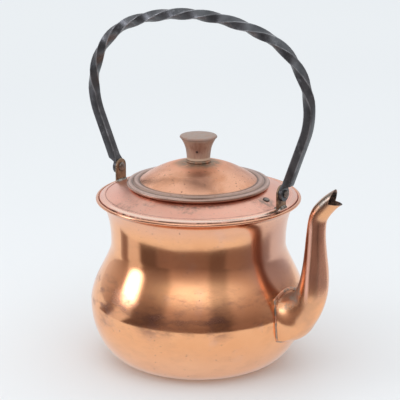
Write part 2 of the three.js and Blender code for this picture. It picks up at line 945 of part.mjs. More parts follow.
function makeBail() {
  let bail = solid(loft(bailRings()));
  for (const side of [-1, 1]) {
    const from = side * eyeCentreX - eyeThickness / 2;
    bail = bail.add(solid(barAlongX(eyeRadius, from, from + eyeThickness, pivotHeight)));
  }
  const reach = bailHalfWidth + barSize;
  const hole = barAlongX(pivotShankRadius + holeGap, -reach, reach, pivotHeight);
  return piece("bail_handle", geometryOf(bail.subtract(solid(hole))), finishes.iron);
}

// The kettle
const kettle = new THREE.Group();
kettle.add(makeBody(), makeTopPlate(), makeSpout());
for (const side of onEachSide) {
  const mounting = new THREE.Group();
  mounting.rotation.z = side.turn;
  mounting.add(
    piece("ear_" + side.name, geometryOf(makeEar()), finishes.brass),
    piece("ear_rivet_" + side.name, makeFootRivet(), finishes.brass),
    piece("pivot_rivet_" + side.name, makePivotRivet(), finishes.brass),
  );
  kettle.add(mounting);
}
kettle.add(makeBail());
kettle.add(makeLid(), makeSkirt(), makeCollar(), makeKnob(), makeKnobWasher(), makeKnobScrew());

export default kettle;
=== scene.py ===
"""A copper kettle with a gooseneck spout, a domed lid and a twisted iron bail.

Sizes are in millimetres unless a name says otherwise, and the scene itself is in metres.
The kettle stands on its base at the origin, and the spout points along +X."""

import math
import bpy
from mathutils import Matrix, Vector


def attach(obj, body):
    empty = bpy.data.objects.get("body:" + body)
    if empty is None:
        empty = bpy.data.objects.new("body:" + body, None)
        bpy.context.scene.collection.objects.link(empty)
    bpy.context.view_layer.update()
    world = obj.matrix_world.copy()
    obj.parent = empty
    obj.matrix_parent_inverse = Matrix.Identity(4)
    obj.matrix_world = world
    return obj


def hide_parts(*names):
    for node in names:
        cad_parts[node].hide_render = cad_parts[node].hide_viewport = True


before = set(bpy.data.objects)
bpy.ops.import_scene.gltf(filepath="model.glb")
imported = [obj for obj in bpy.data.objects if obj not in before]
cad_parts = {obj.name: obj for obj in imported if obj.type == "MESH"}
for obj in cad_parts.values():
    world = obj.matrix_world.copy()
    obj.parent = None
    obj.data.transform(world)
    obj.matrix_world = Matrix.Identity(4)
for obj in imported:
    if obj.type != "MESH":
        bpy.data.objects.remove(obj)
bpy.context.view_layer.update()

# Camera
# The lens stands a little above the rim, to the right of square on to the bail. It comes first,
# because the cards of the studio are placed by where it looks from.
MM = 0.001
RIM_HEIGHT = 132
CAMERA_TURN = math.radians(32.8)
CAMERA_RISE = math.radians(15.8)
CAMERA_DISTANCE_M = 1.3
LENS_MM = 148.23
FRAME_SHIFT = (0.00375, -0.0085)

bpy.ops.object.camera_add(
    location=(
        CAMERA_DISTANCE_M * math.cos(CAMERA_RISE) * math.sin(CAMERA_TURN),
        -CAMERA_DISTANCE_M * math.cos(CAMERA_RISE) * math.cos(CAMERA_TURN),
        RIM_HEIGHT * MM + CAMERA_DISTANCE_M * math.sin(CAMERA_RISE),
    ),
    rotation=(math.pi / 2 - CAMERA_RISE, 0, CAMERA_TURN),
)
camera = bpy.context.object
camera.data.lens = LENS_MM
camera.data.shift_x, camera.data.shift_y = FRAME_SHIFT
bpy.context.scene.camera = camera

# Pot
# The body is raised from one copper sheet: a flat base, a round belly, a straight neck and a
# flared rim with a rolled edge. It is polished outside and tinned inside, and a strainer of
# round holes is drilled behind the spout.
BASE_RADIUS, BELLY_RADIUS, BELLY_HEIGHT = 52, 85.9, 48
NECK_RADIUS, NECK_HEIGHT, FLARE_HEIGHT = 69.3, 96, 98
SHOULDER_HANDLE, NECK_HANDLE = 18, 12
RIM_RADIUS, RIM_ROLL = 81, 1.3
POT_SHEET = 1.0
POT_STEPS = 144
STRAINER_HOLE, STRAINER_PITCH, STRAINER_RING = 3, 9, 6
HOLE_REACH = (NECK_RADIUS, BELLY_RADIUS + STRAINER_PITCH)
SPOUT_ROOT_HEIGHT = 49.2
REST_GAP = 0.3
MERGE_REACH = 0.004
CREASE = math.radians(38)
COPPER = (1.0, 0.505, 0.262)
COPPER_DEEP = (0.93, 0.43, 0.20)
COPPER_PINK = (0.86, 0.50, 0.38)
COPPER_FLOOR_REFLECTION = (1.0, 0.60, 0.40)
COPPER_DULL = (0.66, 0.38, 0.30)
COPPER_BROWN = (0.30, 0.15, 0.10)
COPPER_SMEAR_AND_REFLECTION = (0.27, 0.13, 0.105)
SPOUT_COPPER = (0.84, 0.44, 0.28)
TIN = (0.52, 0.50, 0.47)
TIN_DULL = (0.33, 0.31, 0.29)
TIN_WORN = (0.36, 0.24, 0.17)
# marks on the surface: the middle of each and how far it reaches
BEHIND_SPOUT = ((72, 0, 98), 44)
# three dark patches at the front of the belly: painted reflections of the dark room
DARK_REFLECTION_SPOTS = (((8, -84, 57), 22), ((58, -61, 57), 20), ((-35, -77, 49), 18))


def only(*pieces):
    """Leaves nothing selected but these, in object mode, with the first one active."""
    if bpy.context.object and bpy.context.object.mode != "OBJECT":
        bpy.ops.object.mode_set(mode="OBJECT")
    bpy.ops.object.select_all(action="DESELECT")
    for piece in pieces:
        piece.select_set(True)
    bpy.context.view_layer.objects.active = pieces[0]


def opened(piece):
    """Puts a piece in edit mode with all of it selected."""
    only(piece)
    bpy.ops.object.mode_set(mode="EDIT")
    bpy.ops.mesh.select_all(action="SELECT")


def trace(name, points):
    """A chain of edges through places in millimetres, left open in edit mode."""
    bpy.ops.object.select_all(action="DESELECT")
    bpy.ops.mesh.primitive_plane_add(size=MM)
    piece = bpy.context.object
    piece.name = piece.data.name = name
    bpy.ops.object.mode_set(mode="EDIT")
    bpy.ops.mesh.select_mode(type="VERT")
    bpy.ops.mesh.merge(type="CENTER")
    bpy.ops.transform.translate(value=Vector(points[0]) * MM)
    for here, there in zip(points, points[1:]):
        step = (Vector(there) - Vector(here)) * MM
        bpy.ops.mesh.extrude_region_move(TRANSFORM_OT_translate={"value": step})
    return piece


def face_out():
    """Turns all the faces of the mesh in edit mode outwards, and leaves them selected."""
    bpy.ops.mesh.select_all(action="SELECT")
    bpy.ops.mesh.normals_make_consistent(inside=False)


def smoothed(piece, crease=CREASE):
    """Shades the faces smooth, apart from the edges that turn more than the crease."""
    only(piece)
    bpy.ops.object.shade_smooth_by_angle(angle=crease)
    return piece


def turned(name, outline, steps):
    """An outline of radii and heights, spun round the upright axis as on a lathe."""
    piece = trace(name, [(max(radius, 0), 0, height) for radius, height in outline])
    bpy.ops.mesh.select_all(action="SELECT")
    bpy.ops.mesh.spin(steps=steps, angle=2 * math.pi, center=(0, 0, 0), axis=(0, 0, 1))
    bpy.ops.mesh.select_all(action="SELECT")
    bpy.ops.mesh.remove_doubles(threshold=MERGE_REACH * MM)
    face_out()
    return smoothed(piece)


def bend(centre, radii, start, end, steps):
    """Places along part of an ellipse. The angles are in degrees."""
    angles = [math.radians(start + (end - start) * i / steps) for i in range(steps + 1)]
    return [
        (centre[0] + radii[0] * math.cos(a), centre[1] + radii[1] * math.sin(a)) for a in angles
    ]


def drawn(a, b, c, d, steps):
    """Places along a cubic curve from a to d that is pulled towards b and c."""
    places = []
    for i in range(steps + 1):
        t = i / steps
        pulls = ((1 - t) ** 3, 3 * t * (1 - t) ** 2, 3 * t * t * (1 - t), t**3)
        places.append(tuple(sum(w * p[k] for w, p in zip(pulls, (a, b, c, d))) for k in (0, 1)))
    return places


def beside(outline, distance):
    """The outline moved to the left of its direction."""
    moved = []
    for i, point in enumerate(outline):
        before, after = outline[max(i - 1, 0)], outline[min(i + 1, len(outline) - 1)]
        run, rise = after[0] - before[0], after[1] - before[1]
        length = math.hypot(run, rise)
        moved.append((point[0] - rise / length * distance, point[1] + run / length * distance))
    return moved


def modified(piece, kind, **settings):
    """Gives a piece one modifier with these settings, and applies it."""
    only(piece)
    bpy.ops.object.modifier_add(type=kind)
    step = piece.modifiers[-1]
    for setting, value in settings.items():
        setattr(step, setting, value)
    bpy.ops.object.modifier_apply(modifier=step.name)
    return piece


def worked(piece, tool, operation="DIFFERENCE"):
    """Cuts a piece with a tool, joins the two or keeps what they share. The tool is used up."""
    modified(piece, "BOOLEAN", object=tool, operation=operation, solver="MANIFOLD")
    bpy.data.objects.remove(tool)
    only(piece)
    return piece


def rod(radius, start, end, sides=24):
    """A round bar between two places."""
    bpy.ops.object.select_all(action="DESELECT")
    line = Vector(end) - Vector(start)
    bpy.ops.mesh.primitive_cylinder_add(
        vertices=sides,
        radius=radius * MM,
        depth=line.length * MM,
        location=(Vector(start) + line / 2) * MM,
        rotation=line.to_track_quat("Z", "Y").to_euler(),
    )
    bpy.ops.object.transform_apply(location=True, rotation=True, scale=True)
    return bpy.context.object


def pot_outline(steps=26):
    """The outside of the pot from the middle of its base to the foot of the rolled rim."""
    flare = RIM_RADIUS - RIM_ROLL - NECK_RADIUS
    belly = (BELLY_RADIUS - BASE_RADIUS, BELLY_HEIGHT)
    shoulder = drawn(
        (BELLY_RADIUS, BELLY_HEIGHT),
        (BELLY_RADIUS, BELLY_HEIGHT + SHOULDER_HANDLE),
        (NECK_RADIUS, NECK_HEIGHT - NECK_HANDLE),
        (NECK_RADIUS, NECK_HEIGHT),
        steps,
    )
    flare_rise = RIM_HEIGHT - RIM_ROLL - FLARE_HEIGHT
    return (
        [(0, 0), (BASE_RADIUS / 2, 0)]
        + bend((BASE_RADIUS, BELLY_HEIGHT), belly, -90, 0, steps)
        + shoulder[1:]
        + bend((NECK_RADIUS + flare, FLARE_HEIGHT), (flare, flare_rise), 180, 90, steps)
    )


def pot_section():
    """The sheet cut through: up the outside, over the roll and down the inside."""
    outside = pot_outline()
    roll_drop = RIM_ROLL - POT_SHEET
    roll_inner = RIM_RADIUS - RIM_ROLL - math.sqrt(RIM_ROLL**2 - roll_drop**2)
    inside = [
        (r, z)
        for r, z in beside(outside, POT_SHEET)
        if z < NECK_HEIGHT or r < roll_inner - REST_GAP
    ]
    inside[0] = (0, POT_SHEET)
    end = 180 + math.degrees(math.asin(roll_drop / RIM_ROLL))
    roll = bend((RIM_RADIUS - RIM_ROLL, RIM_HEIGHT), (RIM_ROLL, RIM_ROLL), -90, end, 14)[1:]
    return outside + roll + inside[::-1]


pot = turned("pot", pot_section(), POT_STEPS)
ring = [math.radians(360 / STRAINER_RING * i) for i in range(STRAINER_RING)]
places = [(0, 0)] + [(STRAINER_PITCH * math.cos(a), STRAINER_PITCH * math.sin(a)) for a in ring]
holes = []
for across, up in places:
    ends = [(out, across, SPOUT_ROOT_HEIGHT + up) for out in HOLE_REACH]
    holes.append(rod(STRAINER_HOLE, *ends))
only(*holes)
bpy.ops.object.join()
smoothed(worked(pot, holes[0]))


class Wire:
    """A value in a material. Arithmetic with it adds the Math nodes that work it out."""

    def __init__(self, recipe, socket):
        self.recipe, self.socket = recipe, socket

    def math(self, operation, *others):
        values = dict(enumerate((self, *others)))
        return self.recipe.add("Math", {"operation": operation}, values)

    def __add__(self, other):
        return self.math("ADD", other)

    def __sub__(self, other):
        return self.math("SUBTRACT", other)

    def __mul__(self, other):
        return self.math("MULTIPLY", other)

    def __truediv__(self, other):
        return self.math("DIVIDE", other)

    def __pow__(self, other):
        return self.math("POWER", other)

    def __rsub__(self, other):
        return self * -1.0 + other

    __radd__, __rmul__ = __add__, __mul__

    def most(self, other):
        return self.math("MAXIMUM", other)

    def fade(self, start, end):
        """0 at the start value, 1 at the end value, smooth between them."""
        stretch = {"interpolation_type": "SMOOTHSTEP"}
        return self.recipe.add("MapRange", stretch, {0: self, 1: start, 2: end})


class Recipe:
    """A set of nodes for a material, a light card or the sky."""

    def __init__(self, holder):
        holder.use_nodes = True
        self.nodes, self.links = holder.node_tree.nodes, holder.node_tree.links

    def add(self, kind, settings, sockets, out=0):
        """One node: its type, its settings, then the values or wires of its sockets."""
        node = self.nodes.new("ShaderNode" + kind)
        for setting, value in settings.items():
            if setting == "stops":
                ramp = node.color_ramp.elements
                while len(ramp) < len(value):
                    ramp.new(0.5)
                for stop, (place, colour) in zip(ramp, value):
                    stop.position, stop.color = place, (*colour, 1)
            else:
                setattr(node, setting, value)
        for socket, value in sockets.items():
            if isinstance(value, Wire):
                self.links.new(value.socket, node.inputs[socket])
            else:
                node.inputs[socket].default_value = value
        return Wire(self, node.outputs[out]) if out is not None else node

    def locate(self):
        """Where a point of the surface is, in metres from the kettle's origin."""
        self.place = self.add("TexCoord", {}, {}, "Object")
        self.x, self.y, self.z = (self.add("SeparateXYZ", {}, {0: self.place}, k) for k in "XYZ")

    def near(self, spot, reach, core=0.5):
        """1 at a spot, falling to 0 at this many millimetres from it."""
        between = {0: self.place, 1: Vector(spot) * MM}
        away = self.add("VectorMath", {"operation": "DISTANCE"}, between, "Value")
        return away.fade(reach * MM, reach * MM * core)

    def near_any(self, marks, core=0.5):
        """1 at any of these marks, each a spot and how far it reaches."""
        mask = 0.0
        for spot, reach in marks:
            mask = self.near(spot, reach, core).most(mask)
        return mask

    def by_height(self, start, end):
        """0 at one height, 1 at the other, smooth between them. The heights are in millimetres."""
        return self.z.fade(start * MM, end * MM)

    def along(self, direction, start=(0, 0, 0)):
        """How far a point lies from a start in a direction, in millimetres."""
        ends = {0: self.place, 1: Vector(start) * MM}
        step = self.add("VectorMath", {"operation": "SUBTRACT"}, ends)
        both = {0: step, 1: Vector(direction) / MM}
        return self.add("VectorMath", {"operation": "DOT_PRODUCT"}, both, "Value")

    def blend(self, mask, under, over):
        """One colour over another where the mask is 1."""
        under, over = (c if isinstance(c, Wire) else (*c, 1) for c in (under, over))
        return self.add("Mix", {"data_type": "RGBA"}, {0: mask, 6: under, 7: over}, 2)


class Finish(Recipe):
    """A surface finish. The numbers are those of the shader that are the same all over."""

    def __init__(self, name, numbers):
        self.material = bpy.data.materials.new(name)
        super().__init__(self.material)
        self.shader = self.nodes["Principled BSDF"]
        for socket, value in numbers.items():
            self.shader.inputs[socket].default_value = value
        self.locate()

    def mottle(self, size, detail=3.0, rough=0.55, stretch=(1, 1, 1), shift=0.0):
        """Cloudy noise from 0 to 1 with patches about this many millimetres across."""
        away = (shift, 0.7 * shift, -shift)
        place = self.add("Mapping", {}, {"Vector": self.place, "Location": away, "Scale": stretch})
        fineness = {"Scale": 1 / (size * MM), "Detail": detail, "Roughness": rough}
        return self.add("TexNoise", {}, {"Vector": place, **fineness})

    def from_axis(self):
        """The distance from the kettle's upright axis, in millimetres."""
        return (self.x * self.x + self.y * self.y) ** 0.5 / MM

    def ring_at(self, radius, reach):
        """1 on a ring round the upright axis, 0 at this many millimetres to either side."""
        return (self.from_axis() - radius).math("ABSOLUTE").fade(reach, 0)

    def join(self, colour, roughness=None, height=None, depth=0.1, metallic=None):
        """Links colour, roughness and relief to the shader. The depth is in millimetres."""
        wires = {"Base Color": colour, "Roughness": roughness, "Metallic": metallic}
        for socket, wire in wires.items():
            if wire:
                self.links.new(wire.socket, self.shader.inputs[socket])
        if height:
            relief = self.add("Bump", {}, {"Distance": depth * MM, "Height": height})
            self.links.new(relief.socket, self.shader.inputs["Normal"])
        return self.material


def pot_copper():
    finish = Finish("pot_copper", {"Metallic": 1.0})
    clouds = finish.mottle(46, 3)
    patches = finish.mottle(17, 4, shift=0.3)
    specks = finish.mottle(2.2, 2, 0.6, shift=0.9)
    wiping = finish.mottle(9, 3, 0.6, (1, 1, 0.25), 0.5)
    smears = finish.mottle(20, 5, 0.6, (1, 1, 2.2), 1.3)
    colour = finish.blend(clouds.fade(0.42, 0.7) * 0.55, COPPER, COPPER_DEEP)
    colour = finish.blend(patches.fade(0.55, 0.75) * 0.35, colour, COPPER_PINK)
    # pinker and duller just under the rim, and duller behind the spout
    rim = finish.by_height(RIM_HEIGHT - 20, RIM_HEIGHT - 6) * (0.15 + 0.7 * patches)
    colour = finish.blend(rim, colour, COPPER_PINK)
    behind = finish.near(*BEHIND_SPOUT, 0.3) * (0.55 + 0.5 * patches)
    colour = finish.blend(behind, colour, COPPER_DULL)
    # painted reflection: the round below the belly is paler pink, standing in for a brighter
    # mirrored floor
    colour = finish.blend(finish.by_height(40, 12) * 0.6, colour, COPPER_FLOOR_REFLECTION)
    # brown smears along the widest part of the belly, partly smears and partly a painted reflection
    # of the dark band round the table
    widest = finish.by_height(41, 52) * finish.by_height(84, 66)
    smears_and_reflection = smears.fade(0.46, 0.70) * (0.12 + 0.88 * widest)
    colour = finish.blend(smears_and_reflection * 0.62, colour, COPPER_SMEAR_AND_REFLECTION)
    # three darker patches at the front are painted reflections of the dark room
    old = finish.near_any(DARK_REFLECTION_SPOTS, 0.1) * (0.25 + smears.fade(0.36, 0.62))
    colour = finish.blend(old * 0.45, colour, COPPER_SMEAR_AND_REFLECTION)
    stains = specks.fade(0.66, 0.73) * patches.fade(0.46, 0.62)
    colour = finish.blend(stains * 0.6, colour, COPPER_BROWN)
    # painted shade in the corner under the roll, and the roll itself is browner
    shade_under_roll = finish.by_height(RIM_HEIGHT - 5.2, RIM_HEIGHT - 2.8)
    shade_under_roll = shade_under_roll * finish.by_height(RIM_HEIGHT - 1, RIM_HEIGHT - 1.8)
    colour = finish.blend(shade_under_roll * (0.3 + 0.7 * patches), colour, COPPER_BROWN)
    roll = finish.by_height(RIM_HEIGHT - 2, RIM_HEIGHT - 0.8)
    colour = finish.blend(roll * 0.8, colour, SPOUT_COPPER)
    ripple = finish.mottle(38, 2, 0.4, shift=0.1) + 0.05 * smears + 0.02 * wiping
    gloss = 0.08 + 0.05 * clouds + 0.10 * stains + 0.04 * wiping + 0.10 * rim
    return finish.join(colour, gloss + 0.18 * smears_and_reflection + 0.12 * behind, ripple, 0.35)


def tin_lining():
    finish = Finish("tin_lining", {"Metallic": 1.0})
    clouds = finish.mottle(30, 4)
    colour = finish.blend(clouds.fade(0.4, 0.7), TIN, TIN_DULL)
    worn = finish.mottle(8, 4, shift=0.6).fade(0.58, 0.75)
    colour = finish.blend(worn * 0.6, colour, TIN_WORN)
    wiped = finish.mottle(6, 3, 0.6, (1, 1, 0.3), 0.2)
    return finish.join(colour, 0.32 + 0.25 * clouds, wiped, 0.05)


def paint(piece, *finishes, where=lambda face: False):
    """Gives a piece its finish, and the second one to the faces that the test picks out."""
    piece.data.materials.clear()
    for finish in finishes:
        piece.data.materials.append(finish)
    for face in piece.data.polygons:
        face.material_index = int(where(face))


def in_the_pot(face):
    """Faces of the lining look back at the axis, or up from the bottom."""
    out = Vector((face.center.x, face.center.y, 0))
    if out.length < BASE_RADIUS * MM and face.center.z < 2 * POT_SHEET * MM:
        return face.normal.z > 0.5
    return face.normal.dot(out) < 0 and out.length < (RIM_RADIUS - 2 * RIM_ROLL) * MM


paint(pot, pot_copper(), tin_lining(), where=in_the_pot)
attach(pot, "kettle")
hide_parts("body_pot")

# Spout
# A copper tube, brazed along its length: a wide squarish root soldered over the strainer, an
# elbow, a round stem that narrows to the neck, and a beak cut open at the tip. A bead of solder
# runs round the root.
SPOUT_SHEET = 0.9
SPOUT_SIDES = 16
SPOUT_STEPS_EACH = 6
SQUARE_SWELL = 0.19
# where the root meets the pot: the gap, how near counts as there, and the middle's rise
ROOT_GAP, ROOT_NEAR = 0.05, 0.03
ROOT_MIDDLE_RISE, ROOT_OUTSIDE = 0.5, 19
SPOUT_STEM_OUT = 106
SPOUT_TIP = (121.2, 148.4)
# each station: out from the axis, height, half the width, and how square the section is
SPOUT_STATIONS = (
    (NECK_RADIUS, SPOUT_ROOT_HEIGHT, 19.4, 0.41),
    (BELLY_RADIUS, SPOUT_ROOT_HEIGHT + 0.8, 19.4, 0.41),
    (93.9, 55.2, 15.3, 0.27),
    (100.2, 63.2, 12.8, 0.14),
    (104.4, 75.2, 11.6, 0.08),
    (SPOUT_STEM_OUT, 89.4, 10.3, 0.01),
    (SPOUT_STEM_OUT, 103.7, 8.65, 0.005),
    (SPOUT_STEM_OUT, 118, 7.45, 0.004),
    (107.4, 130.7, 7, 0.003),
    (110.6, 137.4, 7, 0.002),
    (*SPOUT_TIP, 6.4, 0.001),
    (131.6, 154.4, 6.4, 0.001),
)
NOTCH = (-2.6, -3.0)
UPPER_LIP, LOWER_LIP = (0.1, 7.3), (5.4, -3.5)
BEAK_CUT_REACH, BEAK_CUT_WIDTH = 36, 24
SOLDER_RADIUS = 0.9
SPOUT_DULL = (0.48, 0.28, 0.20)
SPOUT_SHADED = (0.24, 0.13, 0.10)
SPOUT_ORANGE = (0.96, 0.50, 0.25)
SPOUT_HIGHLIGHT = (0.95, 0.55, 0.43)
SOLDER = (0.34, 0.30, 0.25)
SPOUT_INSIDE_SHADE = (0.05, 0.04, 0.035)
SPOUT_STRIPE_OUT = SPOUT_STEM_OUT - 1.2
NECK_MIDDLE, OVER_NECK = (118, 0, 144.6), (-0.7, 0, 0.714)
NECK_BRIGHT = ((118, -5, 140), 15)
ROOT_TIN = (((94, -6, 71), 11), ((90, -16, 66), 9))


def through(stations, share):
    """The place at a share of the way along a smooth line through the stations."""
    spot = share * (len(stations) - 1)
    first = min(int(spot), len(stations) - 2)
    t = spot - first
    a, b, c, d = (
        Vector(stations[min(max(first + k, 0), len(stations) - 1)]) for k in (-1, 0, 1, 2)
    )
    if first == 0:
        a = 2 * b - c
    if first == len(stations) - 2:
        d = 2 * c - b
    pairs = ((a, b), (b, c), (c, d))
    # knots that go by the square root of the distance keep the line from looping
    knots = [0.0]
    for near, far in pairs:
        knots.append(knots[-1] + max((far.xy - near.xy).length, 1e-6) ** 0.5)
    u = knots[1] + t * (knots[2] - knots[1])

    def between(p, q, low, high):
        return p.lerp(q, (u - low) / (high - low))

    ab, bc, cd = (between(p, q, knots[k], knots[k + 1]) for k, (p, q) in enumerate(pairs))
    before = between(ab, bc, knots[0], knots[2])
    after = between(bc, cd, knots[1], knots[3])
    return between(before, after, knots[1], knots[2])


def spout_tube():
    """The spout's skin, extruded ring by ring from a square that is rounded on the way."""
    count = SPOUT_STEPS_EACH * (len(SPOUT_STATIONS) - 1)
    line = [through(SPOUT_STATIONS, i / count) for i in range(count + 1)]
    bpy.ops.object.select_all(action="DESELECT")
    start = Vector((line[0][0], 0, line[0][1])) * MM
    bpy.ops.mesh.primitive_plane_add(size=2 * MM, location=start, rotation=(0, math.pi / 2, 0))
    piece = bpy.context.object
    piece.name = piece.data.name = "spout_body"
    bpy.ops.object.transform_apply(location=True, rotation=True, scale=True)
    bpy.ops.object.mode_set(mode="EDIT")
    bpy.ops.mesh.delete(type="ONLY_FACE")
    bpy.ops.mesh.select_all(action="SELECT")
    bpy.ops.mesh.subdivide(number_cuts=SPOUT_SIDES - 1)
    # how square a ring is, and the mean distance of its corners and cuts from its middle
    square = 1.0
    mean = sum(math.hypot(1, -1 + 2 * i / SPOUT_SIDES) for i in range(SPOUT_SIDES)) / SPOUT_SIDES
    heading = 0.0
    for i, (out, up, half, squareness) in enumerate(line):
        before, after = line[max(i - 1, 0)], line[min(i + 1, count)]
        centre = Vector((out, 0, up)) * MM
        if i:
            step = Vector((out - line[i - 1][0], 0, up - line[i - 1][1])) * MM
            bpy.ops.mesh.extrude_region_move(TRANSFORM_OT_translate={"value": step})
        lean = math.atan2(after[1] - before[1], after[0] - before[0])
        bpy.ops.transform.rotate(value=lean - heading, orient_axis="Y", center_override=centre)
        heading = lean
        bpy.ops.transform.tosphere(value=1 - squareness / square, center_override=centre)
        square = squareness
        # a ring this square is this much wider on the average than half its width
        wanted = half * (1 + SQUARE_SWELL * squareness)
        bpy.ops.transform.resize(value=(wanted / mean,) * 3, center_override=centre)
        mean = wanted
    face_out()
    only(piece)
    return piece


def pot_envelope(gap):
    """All that lies within the pot's outer surface and a little beyond it, as a cutting tool."""
    outside = beside(pot_outline(), -gap)
    return turned("pot_envelope", outside + [(0, RIM_HEIGHT + gap)], POT_STEPS)


def slab(name, places, push):
    """A flat outline, filled and pushed out to a solid. All of it is in millimetres."""
    piece = trace(name, places)
    bpy.ops.mesh.select_all(action="SELECT")
    bpy.ops.mesh.edge_face_add()
    bpy.ops.mesh.extrude_region_move(TRANSFORM_OT_translate={"value": Vector(push) * MM})
    face_out()
    only(piece)
    return piece


def beak_cut():
    """The wedge between the two lips of the spout."""
    tip = Vector(SPOUT_TIP)
    notch = tip + Vector(NOTCH)
    upper, lower = (
        notch + (tip + Vector(lip) - notch).normalized() * BEAK_CUT_REACH
        for lip in (UPPER_LIP, LOWER_LIP)
    )
    outer = Vector((upper.x + lower.x - notch.x, upper.y))
    places = [(p.x, -BEAK_CUT_WIDTH / 2, p.y) for p in (notch, lower, outer, upper)]
    return slab("beak_cut", places, (0, BEAK_CUT_WIDTH, 0))


# the wall of the tube grows inwards from its skin
spout = spout_tube()
modified(spout, "SOLIDIFY", thickness=SPOUT_SHEET * MM, offset=-1, use_even_offset=True)
worked(spout, pot_envelope(ROOT_GAP))
worked(spout, beak_cut())
smoothed(spout, math.radians(44))


def select_edges(piece, test):
    """Selects the edges whose two ends, in millimetres, pass a test. It starts in edit mode."""
    bpy.ops.mesh.select_mode(type="EDGE")
    bpy.ops.mesh.select_all(action="DESELECT")
    bpy.ops.object.mode_set(mode="OBJECT")
    for edge in piece.data.edges:
        edge.select = test(*(piece.data.vertices[i].co / MM for i in edge.vertices))
    bpy.ops.object.mode_set(mode="EDIT")


def off_outline(place, outline):
    """How far a place lies from the surface that an outline makes when spun."""
    spot = Vector((math.hypot(place.x, place.y), place.z))
    nearest = math.inf
    for a, b in zip(outline, outline[1:]):
        a, b = Vector(a), Vector(b)
        along = max(0, min(1, (spot - a).dot(b - a) / (b - a).length_squared))
        nearest = min(nearest, (spot - a.lerp(b, along)).length)
    return nearest


def on_root_edge(*ends):
    """True where the outside of the spout's root, nearly as wide as its station, meets the pot."""
    return all(
        off_outline(end, root_outline) < ROOT_NEAR
        and math.hypot(end.y, end.z - SPOUT_ROOT_HEIGHT - ROOT_MIDDLE_RISE) > ROOT_OUTSIDE
        for end in ends
    )


root_outline = beside(pot_outline(), -ROOT_GAP)
only(spout)
bpy.ops.object.mode_set(mode="EDIT")
select_edges(spout, on_root_edge)
bpy.ops.mesh.duplicate()
bpy.ops.mesh.separate(type="SELECTED")
bpy.ops.object.mode_set(mode="OBJECT")
bead = next(o for o in bpy.context.selected_objects if o is not spout)
bead.name = bead.data.name = "spout_solder"
opened(bead)
bpy.ops.mesh.remove_doubles(threshold=ROOT_GAP * MM)
bpy.ops.object.mode_set(mode="OBJECT")
bpy.ops.object.convert(target="CURVE")
bead.data.bevel_depth = SOLDER_RADIUS * MM
bead.data.bevel_resolution = 3
bpy.ops.object.convert(target="MESH")
smoothed(bead)


def spout_copper():
    finish = Finish("spout_copper", {"Metallic": 1.0})
    clouds = finish.mottle(20, 3, shift=0.2)
    drawn_marks = finish.mottle(5, 3, 0.6, (1, 1, 0.2), 0.4)
    # the elbow has the belly's colour, and the stem is browner
    colour = finish.blend(finish.by_height(88, 66), SPOUT_COPPER, COPPER)
    colour = finish.blend(clouds.fade(0.4, 0.7) * 0.35, colour, SPOUT_DULL)
    # painted shade on the side that looks at the pot, darker and less metallic
    facing = finish.along((-1, 0.1, 0), (SPOUT_STEM_OUT, 0, 0))
    shaded = facing.fade(4.5, 8) * finish.by_height(60, 68)
    colour = finish.blend(shaded * 0.9, colour, SPOUT_SHADED)
    # painted highlight: a pale stripe down the front of the stem, and the stem's outer side painted
    # paler
    stem = finish.by_height(62, 78) * finish.by_height(136, 122)
    off_stripe = finish.along((1, 0, 0), (SPOUT_STRIPE_OUT, 0, 0))
    front = finish.along((0, -1, 0)).fade(0, 4)
    highlight_stripe = off_stripe.math("ABSOLUTE").fade(2.4, 0.3) * front
    pale = stem * (highlight_stripe * 0.95).most(off_stripe.fade(5.5, 9.5) * 0.22)
    colour = finish.blend(pale, colour, SPOUT_HIGHLIGHT)
    # the upper neck is tarnished grey brown on top, with one bright orange patch
    high = finish.by_height(126, 146)
    darkening = finish.mottle(9, 3, shift=0.7)
    over = finish.along(OVER_NECK, NECK_MIDDLE)
    tarnish = high * over.fade(-3, 4) * (0.35 + 0.8 * darkening.fade(0.35, 0.65))
    colour = finish.blend(finish.near(*NECK_BRIGHT, 0.35) * 0.8, colour, SPOUT_ORANGE)
    colour = finish.blend(tarnish * 0.95, colour, SOLDER)
    # grey green tin is left where the root was soldered
    root = finish.near_any(ROOT_TIN)
    blotch = finish.mottle(5, 4, shift=0.8).fade(0.42, 0.6)
    colour = finish.blend(root * blotch * 0.85, colour, SOLDER)
    gloss = 0.15 + 0.08 * clouds + 0.12 * high * darkening + 0.06 * drawn_marks + 0.2 * shaded
    relief = finish.mottle(22, 2, 0.4) + 0.02 * drawn_marks
    gloss = gloss + 0.2 * root * blotch + 0.25 * pale
    return finish.join(colour, gloss, relief, 0.2, 1.0 - 0.6 * pale - 0.5 * shaded)


def solder_line():
    finish = Finish("solder_line", {"Metallic": 1.0})
    worn = finish.mottle(7, 4)
    colour = finish.blend(worn.fade(0.42, 0.6), SPOUT_COPPER, SOLDER)
    return finish.join(colour, 0.24 + 0.3 * worn, finish.mottle(1.5, 2, shift=0.5), 0.15)


def dark_spout_inside():
    # painted shade: the inside of the tube is nearly black, clouded with dull copper
    finish = Finish("spout_inside", {"Metallic": 0.4})
    cloud = finish.mottle(6, 4)
    colour = finish.blend(cloud.fade(0.4, 0.7), SPOUT_INSIDE_SHADE, SPOUT_DULL)
    return finish.join(colour, 0.5 + 0.2 * cloud)


spout_middles = [through(SPOUT_STATIONS, i / 60) for i in range(61)]
spout_middles = [Vector((middle[0], 0, middle[1])) for middle in spout_middles]


def in_the_spout(face):
    """Faces of the inner skin look back at the middle of the tube."""
    spot = face.center / MM
    aways = [spot - middle for middle in spout_middles]
    return face.normal.dot(min(aways, key=lambda away: away.length)) < 0


paint(spout, spout_copper(), dark_spout_inside(), where=in_the_spout)
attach(spout, "kettle")
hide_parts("spout")
paint(bead, solder_line())
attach(bead, "kettle")

